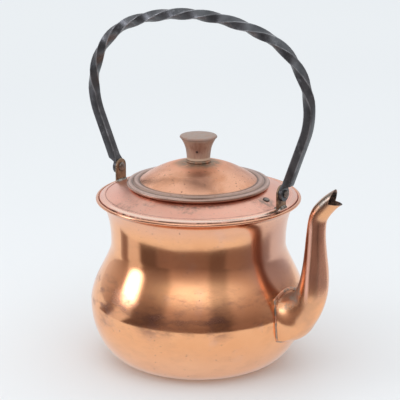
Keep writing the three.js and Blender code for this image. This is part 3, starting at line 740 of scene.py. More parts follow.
# Top plate
# A shallow cone of copper sheet closes the wide rim. Its hem is folded under and lies inside
# the rolled rim, and its inner edge is wired round the mouth as a seat for the lid.
PLATE_SHEET, PLATE_SLOPE = 0.8, math.radians(20)
HEM_RADIUS, HEM_WIDTH, HEM_DEPTH, HEM_STEP = 78.135, 4.8, 1.1, 0.5
HEM_SWELL, HEM_EASE = 0.45, 0.1
MOUTH_RADIUS, SEAT_ROLL, SEAT_RISE = 51, 1.2, 0.6
CONE_RINGS = (68, 63, 58)
EAR_OFFSET, EAR_THICKNESS, EAR_WIDTH = 75, 1.5, 12.8
SLOT_DEPTH, DRILL_REACH = 12, 6
FOOT_RIVET_INSET, FOOT_RIVET_RADIUS, HOLE_GAP = 13, 1.5, 0.3
FOOT_RIVET_OUT = EAR_OFFSET - FOOT_RIVET_INSET
HEM_TOP = RIM_HEIGHT + HEM_DEPTH
PLATE_DROP = PLATE_SHEET / math.cos(PLATE_SLOPE)
SEAT_RADIUS = MOUTH_RADIUS + SEAT_ROLL
PLATE_COPPER = (0.98, 0.50, 0.37)
PLATE_STAIN = (0.30, 0.22, 0.18)
PLATE_BRIGHT = (1.0, 0.60, 0.46)
PLATE_HIGHLIGHT = (1.0, 0.80, 0.66)
GROOVE_GRIME_AND_SHADE = (0.12, 0.08, 0.06)
PLATE_FRONT = (0.54, -0.84, 0)
EAR_DIRT = ((66, -9, 137), 14)
PLATE_DIRT = (
    ((-24, -69, 136), 17), ((25, -53, 139), 13), ((-5, -58, 139), 10), ((-70, 8, 137), 14)
)
EAR_TIN = (((63, -2, 139), 10), ((-63, 2, 139), 10))
SHADE_BY_THE_LID = ((30, -50, 139), 34)


def plate_top_at(radius):
    """How high the top of the cone is at a distance from the axis."""
    return HEM_TOP + (HEM_RADIUS - radius) * math.tan(PLATE_SLOPE)


SEAT_CENTRE = plate_top_at(SEAT_RADIUS) + SEAT_RISE


def plate_section():
    """The sheet cut through: hem, cone, the wired seat, and back underneath."""
    hem_inner = HEM_RADIUS - HEM_WIDTH
    half = PLATE_SHEET / 2
    cone_edge, hem_edge = hem_inner - half, HEM_RADIUS - half
    join = math.degrees(PLATE_SLOPE + math.asin(SEAT_RISE * math.cos(PLATE_SLOPE) / SEAT_ROLL))
    seat_end = 270 - math.degrees(PLATE_SLOPE)
    seat = bend((SEAT_RADIUS, SEAT_CENTRE), (SEAT_ROLL, SEAT_ROLL), -join, seat_end, 20)
    fold = bend((hem_edge, plate_top_at(hem_edge) - HEM_EASE), (half, half), -10, 75, 5)
    hem = []
    for share in (i / 8 for i in range(1, 8)):
        radius = hem_edge - (hem_edge - hem_inner) * share
        swell = HEM_SWELL * math.sin(math.pi * share)
        hem.append((radius, plate_top_at(radius) + HEM_STEP * share + swell))
    return [
        (cone_edge, plate_top_at(cone_edge) - PLATE_DROP),
        (hem_inner, plate_top_at(hem_inner) - HEM_DEPTH),
        (hem_edge, RIM_HEIGHT),
        (HEM_RADIUS, RIM_HEIGHT + HEM_EASE),
        *fold,
        *hem,
        (hem_inner, plate_top_at(hem_inner) + HEM_STEP * 0.8),
        (cone_edge, plate_top_at(cone_edge) + HEM_EASE / 2),
        (cone_edge - half, plate_top_at(cone_edge - half)),
        *[(r, plate_top_at(r)) for r in CONE_RINGS],
        *seat,
        *[(r, plate_top_at(r) - PLATE_DROP) for r in CONE_RINGS[::-1]],
    ]


def closed(outline):
    """The outline with its first place again at the end."""
    return outline + outline[:1]


def drilled(piece, radius, middle, lean):
    """A hole for a rivet of this radius, through a place and along a lean."""
    reach = DRILL_REACH * lean
    return worked(piece, rod(radius + HOLE_GAP, middle - reach, middle + reach))


def foot_rivet_line(side):
    """Where the rivet of an ear's foot goes through the plate, and which way it points."""
    middle = Vector((side * FOOT_RIVET_OUT, 0, plate_top_at(FOOT_RIVET_OUT)))
    return middle, Vector((side * math.sin(PLATE_SLOPE), 0, math.cos(PLATE_SLOPE)))


top_plate = turned("top_cone", closed(plate_section()), POT_STEPS)
for side in (-1, 1):
    bpy.ops.object.select_all(action="DESELECT")
    place = Vector((side * EAR_OFFSET, 0, plate_top_at(EAR_OFFSET))) * MM
    bpy.ops.mesh.primitive_cube_add(size=MM, location=place)
    slot = bpy.context.object
    slot.scale = (EAR_THICKNESS + 2 * HOLE_GAP, EAR_WIDTH + 2 * HOLE_GAP, SLOT_DEPTH)
    bpy.ops.object.transform_apply(location=True, rotation=False, scale=True)
    worked(top_plate, slot)
    drilled(top_plate, FOOT_RIVET_RADIUS, *foot_rivet_line(side))
smoothed(top_plate, math.radians(30))


def plate_copper():
    finish = Finish("plate_copper", {"Metallic": 1.0})
    clouds = finish.mottle(26, 4, shift=0.15)
    wiped = finish.mottle(5, 5, 0.7, shift=0.5)
    specks = finish.mottle(1.6, 2, 0.6, shift=0.25)
    colour = finish.blend(clouds.fade(0.35, 0.7) * 0.7, PLATE_COPPER, PLATE_BRIGHT)
    # water and handling leave grey brown blotches, thickest round the ears
    dirt = finish.near(*EAR_DIRT).most(finish.near_any(PLATE_DIRT) * 0.8)
    stains = (dirt * 0.16 + wiped).fade(0.52, 0.86) * (0.3 + 0.7 * dirt)
    colour = finish.blend(stains * 0.65, colour, PLATE_STAIN)
    colour = finish.blend(specks.fade(0.66, 0.72) * 0.5, colour, PLATE_STAIN)
    # painted shade, with old polish, on the ring under the front of the lid
    shade_by_lid = finish.ring_at(58.5, 4.5) * finish.near(*SHADE_BY_THE_LID, 0.3)
    colour = finish.blend(shade_by_lid * wiped.fade(0.3, 0.62) * 0.75, colour, PLATE_STAIN)
    # the ears were tinned before they were riveted, and the tin has run
    tin = finish.near_any(EAR_TIN, 0.2)
    colour = finish.blend(tin * (0.35 + 0.9 * wiped.fade(0.35, 0.6)) * 0.6, colour, SOLDER)
    # the hem is brighter, partly polish and partly painted highlight, between two grooves darkened
    # by grime and painted shade
    front = finish.along(PLATE_FRONT).fade(5, 55)
    hem = finish.ring_at(75.6, 2.6)
    colour = finish.blend(hem, colour, PLATE_BRIGHT)
    # a stronger painted highlight along the front of the hem
    rubbed = finish.ring_at(76.4, 1.5) * front
    colour = finish.blend(rubbed * (0.6 + 0.4 * wiped), colour, PLATE_HIGHLIGHT)
    # painted shade in the grooves, strongest at the front
    inner = finish.ring_at(HEM_RADIUS - HEM_WIDTH - 0.5, 0.9) * 0.5
    groove = finish.ring_at(HEM_RADIUS, 0.7).most(inner) * wiped.fade(0.3, 0.6)
    colour = finish.blend(groove * (0.25 + 0.75 * front), colour, GROOVE_GRIME_AND_SHADE)
    gloss = 0.24 + 0.14 * clouds + 0.2 * stains - 0.14 * hem
    return finish.join(colour, gloss, finish.mottle(20, 3, 0.5) + 0.04 * wiped, 0.3)


paint(top_plate, plate_copper())
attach(top_plate, "kettle")
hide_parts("top_plate")

# Ears and their rivets
# Two straps of old brass, cut round at the top. Each stands up through a slot in the plate, and
# its foot is bent in under the plate and riveted there. A long rivet joins ear and bail.
PIVOT_HEIGHT = 146.2
EYE_THICKNESS = 2.6
PIVOT_SHANK, PIVOT_HEAD, PIVOT_HEAD_HEIGHT = 2.2, 3.5, 1.3
PIVOT_PEEN, PIVOT_PEEN_HEIGHT = 3.0, 2.4
FOOT_HEAD, FOOT_HEAD_HEIGHT, FOOT_TAIL, FOOT_TAIL_HEIGHT = 2.7, 1.0, 2.4, 0.9
FOOT_BEYOND_RIVET = 4.6
FOOT_DROP = HEM_DEPTH + REST_GAP
EAR_CUT_DROP, EAR_CUT_REACH = 12, 90
BRASS = (0.38, 0.27, 0.18)
BRASS_WORN = (0.58, 0.42, 0.28)
BRASS_DARK = (0.15, 0.10, 0.075)
RIVET = (0.30, 0.26, 0.23)
RIVET_DARK = (0.13, 0.115, 0.105)


def old_brass():
    finish = Finish("old_brass", {"Metallic": 1.0})
    clouds = finish.mottle(7, 4)
    rubbed = finish.mottle(3, 4, 0.7, shift=0.4)
    colour = finish.blend(clouds.fade(0.4, 0.65), BRASS, BRASS_DARK)
    colour = finish.blend(rubbed.fade(0.55, 0.7) * 0.7, colour, BRASS_WORN)
    return finish.join(colour, 0.38 + 0.25 * clouds, rubbed, 0.12)


def tinned_rivet():
    finish = Finish("tinned_rivet", {"Metallic": 0.9})
    clouds = finish.mottle(3, 4)
    colour = finish.blend(clouds.fade(0.45, 0.65), RIVET, RIVET_DARK)
    return finish.join(colour, 0.35 + 0.25 * clouds, finish.mottle(1.2, 3, shift=0.4), 0.12)


brass, rivet_finish = old_brass(), tinned_rivet()


def softened(piece, width):
    """Rounds the sharp edges of a piece."""
    modified(piece, "BEVEL", width=width * MM, segments=2, angle_limit=math.radians(30))
    return smoothed(piece, math.radians(40))


def ear_strap(name):
    """The standing strap with its round top, and the foot bent in under the plate."""
    outer = EAR_OFFSET + EAR_THICKNESS / 2
    inner = EAR_OFFSET - EAR_THICKNESS / 2
    end = FOOT_RIVET_OUT - FOOT_BEYOND_RIVET
    inner_foot, end_foot, outer_foot = (plate_top_at(x) - FOOT_DROP for x in (inner, end, outer))
    thick = EAR_THICKNESS / math.cos(PLATE_SLOPE)
    half = EAR_WIDTH / 2
    # the side view stands a little higher than the round top that is cut from it
    top = PIVOT_HEIGHT + half + 1
    side_view = [
        (outer, top), (inner, top), (inner, inner_foot), (end, end_foot),
        (end, end_foot - thick), (outer, outer_foot - thick),
    ]
    piece = slab(name, [(out, -half, up) for out, up in side_view], (0, EAR_WIDTH, 0))
    low = RIM_HEIGHT - EAR_CUT_DROP
    crown = bend((0, PIVOT_HEIGHT), (half, half), 0, 180, 24)
    front_view = [(0, y, z) for y, z in [(half, low)] + crown + [(-half, low)]]
    worked(piece, slab("ear_front", front_view, (EAR_CUT_REACH, 0, 0)), "INTERSECT")
    drilled(piece, PIVOT_SHANK, Vector((EAR_OFFSET, 0, PIVOT_HEIGHT)), Vector((1, 0, 0)))
    drilled(piece, FOOT_RIVET_RADIUS, *foot_rivet_line(1))
    return softened(piece, 0.3)


def tipped(piece, turn, lift):
    """Turns a piece that was made upright about Y, and carries it to its place."""
    opened(piece)
    bpy.ops.transform.rotate(value=-turn, orient_axis="Y", center_override=(0, 0, 0))
    bpy.ops.transform.translate(value=Vector(lift) * MM)
    return smoothed(piece)


def foot_rivet(name):
    """The rivet that holds an ear's foot, with its head on the plate and its tail below."""
    under = -FOOT_DROP - EAR_THICKNESS - REST_GAP
    head = bend((0, REST_GAP), (FOOT_HEAD, FOOT_HEAD_HEIGHT), 0, 90, 8)
    tail = bend((0, under), (FOOT_TAIL, FOOT_TAIL_HEIGHT), -90, 0, 6)
    shank = [(FOOT_RIVET_RADIUS, under), (FOOT_RIVET_RADIUS, REST_GAP)]
    piece = turned(name, tail + shank + head, 24)
    return tipped(piece, PLATE_SLOPE, foot_rivet_line(1)[0])


def pivot_rivet(name):
    """The rivet that the bail swings on, with its head inside and its peened end outside."""
    head_seat = EAR_OFFSET - EAR_THICKNESS / 2 - REST_GAP
    peen_seat = EAR_OFFSET + EAR_THICKNESS / 2 + 2 * REST_GAP + EYE_THICKNESS
    head = bend((0, head_seat), (PIVOT_HEAD, PIVOT_HEAD_HEIGHT), -90, 0, 8)
    edge = PIVOT_PEEN_HEIGHT / 3
    peen = bend((0, peen_seat + edge), (PIVOT_PEEN, 2 * edge), 0, 90, 8)
    shank = [(PIVOT_SHANK, head_seat), (PIVOT_SHANK, peen_seat), (PIVOT_PEEN, peen_seat)]
    piece = turned(name, head + shank + peen, 28)
    return tipped(piece, math.pi / 2, (0, 0, PIVOT_HEIGHT))


def half_turned(piece):
    """Carries a piece from the spout's side to the back."""
    opened(piece)
    bpy.ops.transform.rotate(value=math.pi, orient_axis="Z", center_override=(0, 0, 0))
    only(piece)
    return piece


for side in ("by_spout", "at_back"):
    for make, node in (
        (ear_strap, "ear_"), (foot_rivet, "ear_rivet_"), (pivot_rivet, "pivot_rivet_")
    ):
        piece = make(node + side + "_brass")
        if side == "at_back":
            half_turned(piece)
        paint(piece, brass if make is ear_strap else rivet_finish)
        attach(piece, "kettle")
        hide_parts(node + side)

# Solder at the ears
# The tinsmith ran solder round the foot of each ear, where it comes up through the plate. It
# set in low grey lumps.
LUMP_LENGTH, LUMP_WIDTH, LUMP_RISE, LUMP_ROUGHNESS = 17, 6.4, 2.6, 1.3
LUMP_INSET, LUMP_SINK, LUMP_GRAIN = 0.6, 0.5, 3.2
TIN_GREY = (0.44, 0.42, 0.38)
TIN_SHADOW = (0.17, 0.15, 0.12)

lumps = bpy.data.textures.new("lumps", "CLOUDS")
lumps.noise_scale = LUMP_GRAIN * MM


def solder_grey():
    finish = Finish("solder_grey", {"Metallic": 0.9})
    clouds = finish.mottle(2.6, 4, 0.6)
    colour = finish.blend(clouds.fade(0.42, 0.62), TIN_GREY, TIN_SHADOW)
    return finish.join(colour, 0.3 + 0.3 * clouds, finish.mottle(1.1, 3, shift=0.3), 0.15)


grey = solder_grey()
for side, name in ((1, "ear_solder_by_spout"), (-1, "ear_solder_at_back")):
    plate_top = plate_top_at(EAR_OFFSET)
    middle = Vector((side * (EAR_OFFSET - LUMP_INSET), 0, plate_top - LUMP_SINK))
    bpy.ops.object.select_all(action="DESELECT")
    bpy.ops.mesh.primitive_uv_sphere_add(
        segments=48,
        ring_count=24,
        radius=MM / 2,
        scale=(LUMP_WIDTH, LUMP_LENGTH, 2 * LUMP_RISE),
        rotation=(0, side * PLATE_SLOPE, 0),
        location=middle * MM,
    )
    lump = bpy.context.object
    lump.name = lump.data.name = name
    bpy.ops.object.transform_apply(location=True, rotation=True, scale=True)
    modified(lump, "DISPLACE", texture=lumps, strength=LUMP_ROUGHNESS * 2 * MM)
    # only what stands above the sheet is solder
    opened(lump)
    bpy.ops.mesh.bisect(
        plane_co=Vector((side * EAR_OFFSET, 0, plate_top - PLATE_DROP / 2)) * MM,
        plane_no=foot_rivet_line(side)[1],
        use_fill=True,
        clear_inner=True,
    )
    face_out()
    smoothed(lump, math.radians(60))
    paint(lump, grey)
    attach(lump, "kettle")

# Bail
# One square iron bar. The smith twists its middle three turns, bends it to the arch, and
# flattens both ends into round eyes for the pivot rivets.
BAR, BAR_CHAMFER, RUBBED_RISE = 7, 0.7, 12
BAR_STEPS, LEG_STEPS, SHOULDER_STEPS, CROWN_STEPS = 260, 12, 40, 60
BAIL_HALF_WIDTH, SHOULDER_RADIUS, SHOULDER_HEIGHT = 99.33, 57.9, 211.3
BAIL_TOP, BAIL_SHIFT = 276.47, -1
BAIL_TURNS = 3
TWIST_AT_BACK, TWIST_BY_SPOUT = 204.5, 214.5
EYE_RADIUS, EYE_NECK_WIDTH, EYE_NECK_RISE, EYE_SHOULDER = 5.9, 10.1, 4.6, 5
EYE_INNER = EAR_OFFSET + EAR_THICKNESS / 2 + REST_GAP
EYE_CENTRE = EYE_INNER + EYE_THICKNESS / 2
IRON = (0.125, 0.13, 0.138)
IRON_WORN = (0.30, 0.31, 0.325)
IRON_DARK = (0.055, 0.057, 0.062)
IRON_EDGE = (0.36, 0.37, 0.385)


def bail_side(side):
    """One leg: the middle of its shoulder arc, its lean, its foot and where it meets the arc."""
    centre = Vector((side * BAIL_SHIFT + BAIL_HALF_WIDTH - SHOULDER_RADIUS, SHOULDER_HEIGHT))
    foot = Vector((EYE_INNER, PIVOT_HEIGHT + EYE_NECK_RISE))
    away = foot - centre
    lean = math.atan2(-away.y, away.x) - math.acos((SHOULDER_RADIUS - BAR / 2) / away.length)
    outward = Vector((math.cos(lean), -math.sin(lean)))
    return centre, lean, foot + outward * BAR / 2, centre + outward * SHOULDER_RADIUS


def bail_line():
    """The bar's middle line from the back foot over the arch to the foot by the spout."""
    back, spout_side = bail_side(-1), bail_side(1)
    rise = BAIL_TOP - SHOULDER_HEIGHT
    half = BAIL_HALF_WIDTH - SHOULDER_RADIUS
    crown_radius = (half**2 + rise**2 - SHOULDER_RADIUS**2) / (2 * (rise - SHOULDER_RADIUS))
    crown = (BAIL_SHIFT, BAIL_TOP - crown_radius)
    turn = math.degrees(math.atan2(SHOULDER_HEIGHT - crown[1], half))
    shoulder = (SHOULDER_RADIUS, SHOULDER_RADIUS)
    lean_back, lean_spout = math.degrees(back[1]), math.degrees(spout_side[1])
    mirrored = (-back[0].x, back[0].y)
    foot_to_arc = [Vector((-place.x, place.y)) for place in back[2:]]
    up = [foot_to_arc[0].lerp(foot_to_arc[1], i / LEG_STEPS) for i in range(LEG_STEPS)]
    down = [spout_side[3].lerp(spout_side[2], (i + 1) / LEG_STEPS) for i in range(LEG_STEPS)]
    return (
        [tuple(place) for place in up]
        + bend(mirrored, shoulder, 180 + lean_back, 180 - turn, SHOULDER_STEPS)
        + bend(crown, (crown_radius, crown_radius), 180 - turn, turn, CROWN_STEPS)[1:]
        + bend(tuple(spout_side[0]), shoulder, turn, -lean_spout, SHOULDER_STEPS)[1:]
        + [tuple(place) for place in down]
    )


def length_to_height(line, height):
    """How far along the line it first rises past a height."""
    run = 0.0
    for a, b in zip(line, line[1:]):
        step = (Vector(b) - Vector(a)).length
        if b[1] >= height:
            return run + step * (height - a[1]) / (b[1] - a[1])
        run += step
    return run


line = bail_line()
whole = sum((Vector(b) - Vector(a)).length for a, b in zip(line, line[1:]))
twist_from = length_to_height(line, TWIST_AT_BACK)
twist_to = whole - length_to_height(line[::-1], TWIST_BY_SPOUT)

bpy.ops.object.select_all(action="DESELECT")
bpy.ops.mesh.primitive_cube_add(size=BAR * MM, location=(whole / 2 * MM, 0, 0))
bail = bpy.context.object
bail.name = bail.data.name = "bail_bar"
bpy.ops.object.transform_apply(location=True, rotation=False, scale=False)
opened(bail)
bpy.ops.transform.resize(
    value=((whole - 2 * EYE_SHOULDER) / BAR, 1, 1), center_override=(whole / 2 * MM, 0, 0)
)


def runs_along(a, b):
    """True for the long edges of the bar."""
    return abs(a.x - b.x) > BAR


select_edges(bail, runs_along)
bpy.ops.mesh.bevel(offset=BAR_CHAMFER * MM, segments=3, profile=0.5)
select_edges(bail, runs_along)
bpy.ops.mesh.subdivide(number_cuts=BAR_STEPS)
# the twist turns about the object's own origin, so the bar starts its twist there
bpy.ops.mesh.select_all(action="SELECT")
bpy.ops.transform.translate(value=(-twist_from * MM, 0, 0))
start, end = EYE_SHOULDER, whole - EYE_SHOULDER
modified(
    bail,
    "SIMPLE_DEFORM",
    deform_method="TWIST",
    deform_axis="X",
    angle=-BAIL_TURNS * 2 * math.pi,
    limits=((twist_from - start) / (end - start), (twist_to - start) / (end - start)),
)
opened(bail)
bpy.ops.transform.translate(value=(twist_from * MM, 0, 0))

# the twisted bar is bent along its route
only(bail)
route = trace("bail_route", [(out, 0, up) for out, up in line])
only(route)
bpy.ops.object.convert(target="CURVE")
route.data.twist_mode = "MINIMUM"
modified(bail, "CURVE", object=route, deform_axis="POS_X")
bpy.data.objects.remove(route)

# both ends are flattened, and each is given its eye
for side in (-1, 1):
    foot = Vector((side * EYE_CENTRE, 0, PIVOT_HEIGHT + EYE_NECK_RISE))
    bpy.ops.object.mode_set(mode="EDIT")
    bpy.ops.mesh.select_mode(type="FACE")
    bpy.ops.mesh.select_all(action="DESELECT")
    bpy.ops.object.mode_set(mode="OBJECT")
    ends = [f for f in bail.data.polygons if len(f.vertices) > 4 and f.center.x * side > 0]
    end_face = min(ends, key=lambda face: face.center.z)
    end_face.select = True
    centre = end_face.center.copy()
    lean = math.atan2(side * end_face.normal.x, -end_face.normal.z)
    bpy.ops.object.mode_set(mode="EDIT")
    bpy.ops.mesh.extrude_region_move(TRANSFORM_OT_translate={"value": foot * MM - centre})
    bpy.ops.transform.rotate(value=-side * lean, orient_axis="Y", center_override=foot * MM)
    flat = (EYE_THICKNESS / BAR, EYE_NECK_WIDTH / BAR, 1)
    bpy.ops.transform.resize(value=flat, center_override=foot * MM)
    drop = (0, 0, -EYE_NECK_RISE * MM)
    bpy.ops.mesh.extrude_region_move(TRANSFORM_OT_translate={"value": drop})
    bpy.ops.object.mode_set(mode="OBJECT")
    place = Vector((side * EYE_CENTRE, 0, PIVOT_HEIGHT))
    reach = Vector((EYE_THICKNESS / 2, 0, 0))
    worked(bail, rod(EYE_RADIUS, place - reach, place + reach, 48), "UNION")
    worked(bail, rod(PIVOT_SHANK + HOLE_GAP, place - 8 * reach, place + 8 * reach, 32))
smoothed(bail, math.radians(30))


def forged_iron(name, base, scuffed):
    finish = Finish(name, {"Metallic": 0.85})
    scale = finish.mottle(16, 3)
    worn = finish.mottle(5, 5, 0.7, shift=0.4)
    colour = finish.blend(scale.fade(0.4, 0.65) * 0.7, base, IRON_DARK)
    colour = finish.blend(worn.fade(0.54, 0.72) * 0.5, colour, scuffed)
    dents = finish.mottle(7, 2, 0.4, shift=0.7) + 0.1 * finish.mottle(1, 2, shift=0.2)
    return finish.join(colour, 0.28 + 0.2 * worn, dents, 0.25)


def on_a_corner(face):
    """The bar's narrow chamfers, which hands have rubbed brighter than its flats."""
    above_the_eyes = face.center.z > (PIVOT_HEIGHT + RUBBED_RISE) * MM
    return face.area < (BAR / 2 * MM) ** 2 / 4 and above_the_eyes


iron = forged_iron("forged_iron", IRON, IRON_WORN)
paint(bail, iron, forged_iron("rubbed_iron", IRON_WORN, IRON_EDGE), where=on_a_corner)
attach(bail, "bail")
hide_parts("bail_handle")

# Lid
# One spun copper sheet: a rolled edge, a nearly flat rim that rests on the wired seat, and a
# dome. A plain ring of sheet soldered beneath it drops into the mouth and keeps it in place.
LID_SHEET, LID_RADIUS, LID_ROLL, LID_ROLL_END = 0.8, 56.3, 1.25, 176
LID_SLOPE = math.radians(6)
BEAD_RADIUS, BEAD_WIDTH, BEAD_RISE = 49.4, 4.8, 0.9
BEAD_CURVE = ((BEAD_WIDTH / 2) ** 2 + BEAD_RISE**2) / (2 * BEAD_RISE)
DOME_RADIUS, DOME_RISE, DOME_POWER = 46.5, 15.2, 2.3
SKIRT_SHEET, SKIRT_DEPTH, SKIRT_CLEARANCE, SKIRT_TAPER = 0.8, 11, 0.8, 0.8
SCREW_RADIUS = 2
BORE = SCREW_RADIUS + HOLE_GAP
LID_COPPER = (0.94, 0.50, 0.32)
LID_DEEP = (0.78, 0.37, 0.21)
LID_DULL = (0.42, 0.32, 0.27)
LID_BARE_AND_HIGHLIGHT = (0.72, 0.52, 0.44)
LID_DARK_REFLECTION = (0.42, 0.20, 0.13)
TARNISH = (0.30, 0.28, 0.22)
DOME_DARK_REFLECTION = ((20, -30, 159), 19)


def lid_top_at(radius):
    """How high the top of the flat rim is at a distance from the axis."""
    seat_top = SEAT_CENTRE + SEAT_ROLL
    return seat_top + REST_GAP + LID_SHEET + (SEAT_RADIUS - radius) * math.tan(LID_SLOPE)


def dome_top_at(radius):
    """How high the top of the dome is at a distance from the axis."""
    return lid_top_at(DOME_RADIUS) + DOME_RISE * (1 - (radius / DOME_RADIUS) ** DOME_POWER)


BEAD_SINK = BEAD_CURVE - BEAD_RISE
BEAD_CENTRE = (
    BEAD_RADIUS - BEAD_SINK * math.sin(LID_SLOPE),
    lid_top_at(BEAD_RADIUS) - BEAD_SINK * math.cos(LID_SLOPE),
)


def lid_section():
    """The sheet cut through: dome, raised ring, flat rim, rolled edge and back underneath."""
    half = math.degrees(math.asin(BEAD_WIDTH / 2 / BEAD_CURVE))
    upright = 90 - math.degrees(LID_SLOPE)
    ring = bend(BEAD_CENTRE, (BEAD_CURVE, BEAD_CURVE), upright + half, upright - half, 14)
    shares = [math.sin(math.pi / 2 * i / 24) for i in range(25)]
    dome = [(r, dome_top_at(r)) for r in (BORE + (DOME_RADIUS - BORE) * s for s in shares)] + ring
    roll_at = LID_RADIUS - LID_ROLL
    middle = (roll_at, lid_top_at(roll_at) - LID_ROLL)
    roll = bend(middle, (LID_ROLL, LID_ROLL), 90, -LID_ROLL_END, 18)
    rim_end = roll_at - LID_ROLL
    under = beside(dome + [(rim_end, lid_top_at(rim_end))], -LID_SHEET)
    under[0] = (BORE, under[0][1])
    return dome + roll + under[::-1]


lid = turned("lid_dome", closed(lid_section()), POT_STEPS)
skirt_outer = MOUTH_RADIUS - SKIRT_CLEARANCE
hollow = math.sqrt((BEAD_CURVE - LID_SHEET) ** 2 - (skirt_outer - BEAD_CENTRE[0]) ** 2)
skirt_top = BEAD_CENTRE[1] + hollow - REST_GAP
skirt_foot = skirt_outer - SKIRT_TAPER
skirt_section = [
    (skirt_foot - SKIRT_SHEET, skirt_top - SKIRT_DEPTH),
    (skirt_foot, skirt_top - SKIRT_DEPTH),
    (skirt_outer, skirt_top),
    (skirt_outer - SKIRT_SHEET, skirt_top),
]
skirt = softened(turned("lid_ring", closed(skirt_section), 96), 0.2)


def lid_copper():
    finish = Finish("lid_copper", {"Metallic": 1.0})
    clouds = finish.mottle(22, 3, shift=0.35)
    fine = finish.mottle(5, 4, 0.65, shift=0.6)
    spots = finish.mottle(2.4, 2, 0.5, shift=0.8)
    colour = finish.blend(clouds.fade(0.38, 0.68), LID_COPPER, LID_DEEP)
    # painted dark reflection on the dome in front of the knob
    darkening = finish.near(*DOME_DARK_REFLECTION, 0.3)
    colour = finish.blend(darkening * (0.65 + 0.4 * fine), colour, LID_DARK_REFLECTION)
    out = finish.from_axis()
    # the flat rim is dull with old polish; its ridges are lighter, partly bare metal and partly
    # painted highlight, and its grooves darker with grime and painted shade
    rim = out.fade(45.2, 47)
    colour = finish.blend(rim * (0.7 + 0.3 * fine), colour, LID_DULL)
    ridges = finish.ring_at(BEAD_RADIUS, 1.7) * 0.6
    ridges = ridges.most(finish.ring_at(LID_RADIUS - 1.6, 1.5) * 0.9)
    colour = finish.blend(ridges * fine.fade(0.25, 0.6), colour, LID_BARE_AND_HIGHLIGHT)
    grooves = finish.ring_at(DOME_RADIUS + 0.3, 1.1).most(finish.ring_at(BEAD_RADIUS + 2.9, 0.9))
    colour = finish.blend(grooves * (0.35 + 0.8 * fine), colour, GROOVE_GRIME_AND_SHADE)
    # grey green tarnish spreads from under the knob
    crown = out.fade(22, 12)
    colour = finish.blend(crown * fine.fade(0.2, 0.6) * 0.85, colour, TARNISH)
    dull = out.fade(34, 14)
    colour = finish.blend(spots.fade(0.66, 0.71) * 0.7, colour, COPPER_BROWN)
    gloss = 0.2 + 0.1 * clouds + 0.12 * rim + 0.35 * dull - 0.1 * ridges
    return finish.join(colour, gloss, finish.mottle(16, 2, 0.4) + 0.03 * fine, 0.25)


dome_finish = lid_copper()
for piece, node in ((lid, "lid_cover"), (skirt, "lid_skirt")):
    paint(piece, dome_finish)
    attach(piece, "lid")
    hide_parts(node)

# Knob and what holds it
# A turned wooden knob stands on a spun copper collar. A screw with a broad washer comes up
# through the dome from inside and bites into the wood.
COLLAR_RADIUS, COLLAR_HEIGHT, COLLAR_SEAT = 9.9, 1.2, 6.2
KNOB_NECK, KNOB_WAIST, KNOB_TOP, KNOB_HEIGHT, KNOB_BRIM = 9.3, 10.5, 14.7, 19.8, 3
KNOB_CROWN, KNOB_EDGE, KNOB_LIP_INSET, KNOB_LIP = 0.9, 1.2, 1.4, 1.6
SCREW_REACH, SCREW_TIP, SCREW_TIP_LENGTH = 12, 0.8, 1.0
SCREW_HEAD, SCREW_HEAD_HEIGHT = 4.2, 2.4
WASHER_RADIUS, WASHER_THICKNESS = 8, 1.2
CROWN_TOP = dome_top_at(0)
KNOB_FOOT = CROWN_TOP + 2 * REST_GAP + COLLAR_HEIGHT
WOOD = (0.36, 0.20, 0.135)
WOOD_RED = (0.20, 0.075, 0.045)
WOOD_TOP = (0.34, 0.27, 0.23)
WOOD_LIP = (0.50, 0.34, 0.24)
WOOD_STREAK = (0.20, 0.09, 0.06)
WORM_HOLE_SHADE = (0.03, 0.012, 0.01)
STEEL = (0.45, 0.44, 0.42)
RUST = (0.16, 0.08, 0.05)
KNOB_RED = ((5.5, -8.5, KNOB_FOOT + 11), 9)
WORM_HOLE = ((4.3, -8.9, KNOB_FOOT + 7.6), 1.3)


def collar_section():
    """The collar cut through, with its round outer edge low on the dome."""
    seat = CROWN_TOP + REST_GAP
    drop = CROWN_TOP - dome_top_at(COLLAR_RADIUS)
    bead = COLLAR_HEIGHT / 2
    edge = bend((COLLAR_RADIUS - bead, seat - drop + bead), (bead, bead), -90, 90, 12)
    top = seat + COLLAR_HEIGHT
    return [(BORE, seat), (COLLAR_SEAT, seat), *edge, (COLLAR_RADIUS - bead, top), (BORE, top)]


def knob_section():
    """The knob cut through: the bore for the screw, the waisted stem, the lip and the top."""
    top = KNOB_FOOT + KNOB_HEIGHT
    brim = top - KNOB_BRIM
    profile = (
        (KNOB_NECK, KNOB_FOOT),
        (KNOB_NECK, KNOB_FOOT + KNOB_HEIGHT * 0.12),
        (KNOB_WAIST, KNOB_FOOT + KNOB_HEIGHT * 0.5),
        (KNOB_TOP - KNOB_LIP_INSET, brim - KNOB_LIP / 2),
        (KNOB_TOP, brim + KNOB_LIP / 2),
    )
    stem = [tuple(through(profile, i / 28)) for i in range(29)]
    edge_at = (KNOB_TOP - KNOB_EDGE, top - KNOB_EDGE - KNOB_CROWN)
    bore_top = KNOB_FOOT + SCREW_REACH + SCREW_TIP_LENGTH
    return [
        (0, bore_top),
        (BORE, bore_top),
        (BORE, KNOB_FOOT),
        *stem,
        *bend(edge_at, (KNOB_EDGE, KNOB_EDGE), 0, 90, 10),
        (KNOB_TOP / 2, top - KNOB_CROWN / 4),
        (0, top),
    ]


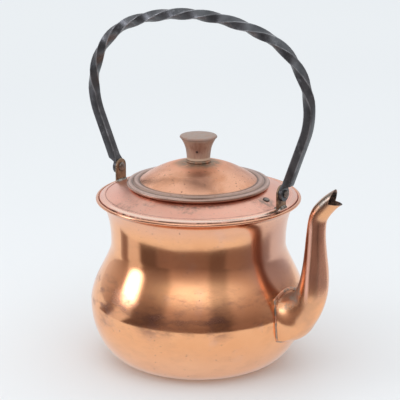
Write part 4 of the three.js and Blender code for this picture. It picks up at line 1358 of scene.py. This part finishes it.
collar = turned("knob_seat", closed(collar_section()), 72)
knob = turned("knob_wood", knob_section(), 96)
washer_top = CROWN_TOP - LID_SHEET - REST_GAP - (CROWN_TOP - dome_top_at(WASHER_RADIUS))
washer_low = washer_top - WASHER_THICKNESS
washer_section = [
    (BORE, washer_low), (WASHER_RADIUS, washer_low), (WASHER_RADIUS, washer_top), (BORE, washer_top)
]
washer = softened(turned("washer", closed(washer_section), 48), 0.2)
head_seat = washer_low - REST_GAP
tip = KNOB_FOOT + SCREW_REACH
screw_section = [
    *bend((0, head_seat), (SCREW_HEAD, SCREW_HEAD_HEIGHT), -90, 0, 8),
    (SCREW_RADIUS, head_seat),
    (SCREW_RADIUS, tip - SCREW_TIP_LENGTH),
    (SCREW_TIP, tip),
    (0, tip),
]
screw = turned("screw", screw_section, 32)


def turned_wood():
    finish = Finish("turned_wood", {"Coat Weight": 0.12})
    streaks = finish.mottle(1.3, 4, 0.6, (1, 1, 0.1))
    clouds = finish.mottle(7, 3, shift=0.3)
    side = finish.blend(streaks.fade(0.42, 0.66) * 0.45, WOOD, WOOD_STREAK)
    side = finish.blend(clouds.fade(0.45, 0.7) * 0.3, side, WOOD_TOP)
    # the grain is red in the middle of the front, round a worm hole whose dark is painted shade
    side = finish.blend(finish.near(*KNOB_RED, 0.2) * (0.3 + 0.9 * streaks), side, WOOD_RED)
    side = finish.blend(finish.near(*WORM_HOLE), side, WORM_HOLE_SHADE)
    side = finish.blend(finish.by_height(KNOB_FOOT + 2.4, KNOB_FOOT + 1.2), side, WOOD_LIP)
    # the top is greyer
    height = finish.by_height(KNOB_FOOT + 15, KNOB_FOOT + 17.5)
    grain = finish.mottle(2.6, 4, 0.6, (1, 0.4, 1), 0.7)
    top = finish.blend(grain.fade(0.4, 0.65) * 0.6, WOOD_TOP, WOOD)
    colour = finish.blend(height * 0.85, side, top)
    # painted shade under the brim, darkening its edge all round
    colour = finish.blend(finish.ring_at(KNOB_TOP, 1.6) * 0.5, colour, WOOD_STREAK)
    return finish.join(colour, 0.42 + 0.2 * clouds, streaks, 0.06)


def plain_steel():
    finish = Finish("plain_steel", {"Metallic": 1.0})
    cloud = finish.mottle(4, 4)
    colour = finish.blend(cloud.fade(0.5, 0.7), STEEL, RUST)
    return finish.join(colour, 0.35 + 0.3 * cloud, cloud, 0.05)


steel = plain_steel()
for piece, node, finish, slot_name in (
    (collar, "knob_collar", dome_finish, "lid_copper"),
    (knob, "knob", turned_wood(), "knob_wood"),
    (washer, "knob_washer", steel, "steel"),
    (screw, "knob_screw", steel, "steel"),
):
    paint(piece, finish)
    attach(piece, "lid")
    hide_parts(node)

# Studio
# A plain pale floor under a pale sky. The polished copper mirrors the dark round the table, a
# dim room with a window at the left, and a skylight. A card stands or lies for each, and only
# shiny surfaces see them.
FLOOR = (0.80, 0.82, 0.84)
FLOOR_SHADE = (0.79, 0.81, 0.83)
SKY = (0.86, 0.88, 0.91)
DAYLIGHT = (1.03, 1.05, 1.06)
OPEN_ROOM = (0.80, 0.80, 0.84)
WINDOW = (6, 6, 6.6)
# its direction, its height and how far it reaches
WINDOW_PLACE = (math.radians(-85), 850, 560)
# how bright a card is, by the distance from the axis or by the height
TABLE_BRIGHTNESS = [(250, 0.22), (400, 0.25), (2000, 0.27)]
ROOM_BRIGHTNESS = [
    (-20, 0.26), (255, 0.28), (505, 0.36), (810, 0.46),
    (1010, 0.6), (1235, 0.95), (1380, 1.5), (1600, 1.7),
]
SKY_BRIGHTNESS = [(1650, 1.8), (1900, 3.0), (2300, 3.0)]
# how open it is to the pale room, and how dim, by the direction to the camera's right
TABLE_OPEN = [
    (-112, 0.5), (-105, 0.05), (-98, 0.05), (-94, 0.9), (-78, 0.9), (-73, 0), (60, 0), (98, 0.25)
]
TABLE_DIMMED = [
    (-76, 1), (-72, 0.6), (-54, 0.6), (-48, 0.9), (-34, 1),
    (10, 0.9), (15, 0.65), (29, 0.65), (34, 1),
]
ROOM_OPEN = [
    (-180, 1), (-140, 0.85), (-120, 0.5), (-106, 0.15), (-99, 0.15), (-95, 0.9), (-78, 0.9),
    (-72, 0.05), (60, 0.05), (90, 0.3), (110, 0.3), (130, 0.6), (150, 0.9), (180, 1),
]
ROOM_DIMMED = [
    (-76, 1), (-72, 0.65), (-54, 0.6), (-40, 0.65), (-33, 1),
    (10, 0.95), (17, 0.6), (33, 0.6), (40, 0.9),
]
SKY_OPEN = [(-48, 1), (-36, 0), (10, 0), (26, 1)]
SKY_DIMMED = [(-48, 1), (26, 1)]

bpy.ops.object.select_all(action="DESELECT")
bpy.ops.mesh.primitive_plane_add(size=12)
floor = bpy.context.object
floor.name = "floor"
paper = Finish("floor_paper", {"Roughness": 0.6, "Specular IOR Level": 0.0})
clouds = paper.mottle(900, 1).fade(0.3, 0.7)
floor.data.materials.append(paper.join(paper.blend(clouds, FLOOR, FLOOR_SHADE)))
# the copper mirrors the paper half without its shadow
mirrored = paper.add("LightPath", {}, {}, "Is Glossy Ray")
plain = paper.add("Emission", {}, {0: (*FLOOR, 1), 1: 1.05})
lit = Wire(paper, paper.shader.outputs[0])
half_lit = paper.add("MixShader", {}, {0: mirrored * 0.5, 1: lit, 2: plain})
paper.links.new(half_lit.socket, paper.nodes["Material Output"].inputs[0])


ACROSS, AHEAD = math.cos(CAMERA_TURN), math.sin(CAMERA_TURN)


def as_seen(right, towards, height):
    """A place to the camera's right, towards it and up."""
    return Vector((right * ACROSS + towards * AHEAD, right * AHEAD - towards * ACROSS, height))


def browned(much):
    """A brightness as a colour. Dark ones are browner."""
    return much, much * min(0.68 + 0.32 * much, 1), much * min(0.66 + 0.34 * much, 1)


def ramp(recipe, marks, start, end, at):
    """The brightness at a place between start and end, from marks of (place, brightness)."""
    stops = [((place - start) / (end - start), browned(much)) for place, much in marks]
    return recipe.add("ValToRGB", {"stops": stops}, {0: (at - start) / (end - start)})


def screen(name, foot, head, marks, open_to, dimmed, window=None):
    """A card that stands or lies round the kettle, which only reflections see.

    Its foot and head are distances from the axis and heights. The marks are places between
    them and brightness straight ahead. The others go by the direction in degrees, to the right
    of the camera: how open it is to the pale room, and how dim its brightness. A window is a
    bright spot: direction, height and reach."""
    lies = foot[1] == head[1]
    first, last = open_to[0][0], open_to[-1][0]
    turns = [math.radians(first + (last - first) * i / 48) for i in range(49)]
    line = [as_seen(foot[0] * math.sin(a), foot[0] * math.cos(a), foot[1]) for a in turns]
    piece = trace(name, line)
    bpy.ops.mesh.select_all(action="SELECT")
    rise = (0, 0, (head[1] - foot[1]) * MM)
    bpy.ops.mesh.extrude_region_move(TRANSFORM_OT_translate={"value": rise})
    widen = head[0] / foot[0]
    bpy.ops.transform.resize(value=(widen, widen, 1), center_override=(0, 0, 0))
    only(piece)
    glow = bpy.data.materials.new(name + "_glow")
    recipe = Recipe(glow)
    recipe.nodes.clear()
    recipe.locate()
    right = ACROSS * recipe.x + AHEAD * recipe.y
    towards = AHEAD * recipe.x - ACROSS * recipe.y
    turn = right.math("ARCTAN2", towards) / math.radians(1)
    place = (right * right + towards * towards) ** 0.5 if lies else recipe.z
    shade = ramp(recipe, marks, marks[0][0], marks[-1][0], place / MM)
    shade = recipe.blend(ramp(recipe, open_to, -180, 180, turn), shade, OPEN_ROOM)
    shade = recipe.blend(ramp(recipe, dimmed, -180, 180, turn), (0, 0, 0), shade)
    if window:
        aim, height, reach = window
        at = as_seen(foot[0] * math.sin(aim), foot[0] * math.cos(aim), height)
        shade = recipe.blend(recipe.near(at, reach, 0.15), shade, WINDOW)
    light = recipe.add("Emission", {}, {0: shade, 1: 1.0})
    recipe.add("OutputMaterial", {}, {0: light}, out=None)
    piece.data.materials.append(glow)
    piece.visible_camera = piece.visible_diffuse = piece.visible_shadow = False


screen("beyond_the_table", (250, 1), (2000, 1), TABLE_BRIGHTNESS, TABLE_OPEN, TABLE_DIMMED)
room = (ROOM_BRIGHTNESS, ROOM_OPEN, ROOM_DIMMED)
screen("room", (2000, -20), (2000, 1600), *room, WINDOW_PLACE)
screen("skylight", (2000, 1650), (2000, 2300), SKY_BRIGHTNESS, SKY_OPEN, SKY_DIMMED)

world = bpy.data.worlds.new("pale_sky")
bpy.context.scene.world = world
sky = Recipe(world)
sky.nodes.clear()
mirrored = 0.0
for ray in ("Is Transmission Ray", "Is Glossy Ray", "Is Camera Ray"):
    mirrored = sky.add("LightPath", {}, {}, ray).most(mirrored)
backdrop = sky.add("Background", {}, {0: (*SKY, 1), 1: 1.0})
soft_light = sky.add("Background", {}, {0: (*DAYLIGHT, 1), 1: 1.0})
seen = sky.add("MixShader", {}, {0: mirrored, 1: soft_light, 2: backdrop})
sky.add("OutputWorld", {}, {0: seen}, out=None)


def lamp(name, place, aim, width, height, power):
    """A soft rectangular lamp, placed and aimed as the camera sees it."""
    where = as_seen(*place) * MM
    bpy.ops.object.light_add(type="AREA", location=where)
    light = bpy.context.object
    light.name = name
    light.data.shape = "RECTANGLE"
    light.data.size, light.data.size_y = width * MM, height * MM
    light.data.energy = power
    light.rotation_euler = (as_seen(*aim) * MM - where).to_track_quat("-Z", "Y").to_euler()
    # the screens carry the bright places that the copper mirrors
    light.visible_glossy = False


lamp("window_light", (-940, 160, 450), (0, 0, 80), 300, 300, 1.0)
lamp("overhead", (50, 500, 750), (0, 0, 80), 600, 400, 0.8)

bpy.context.scene.view_settings.view_transform = "Standard"
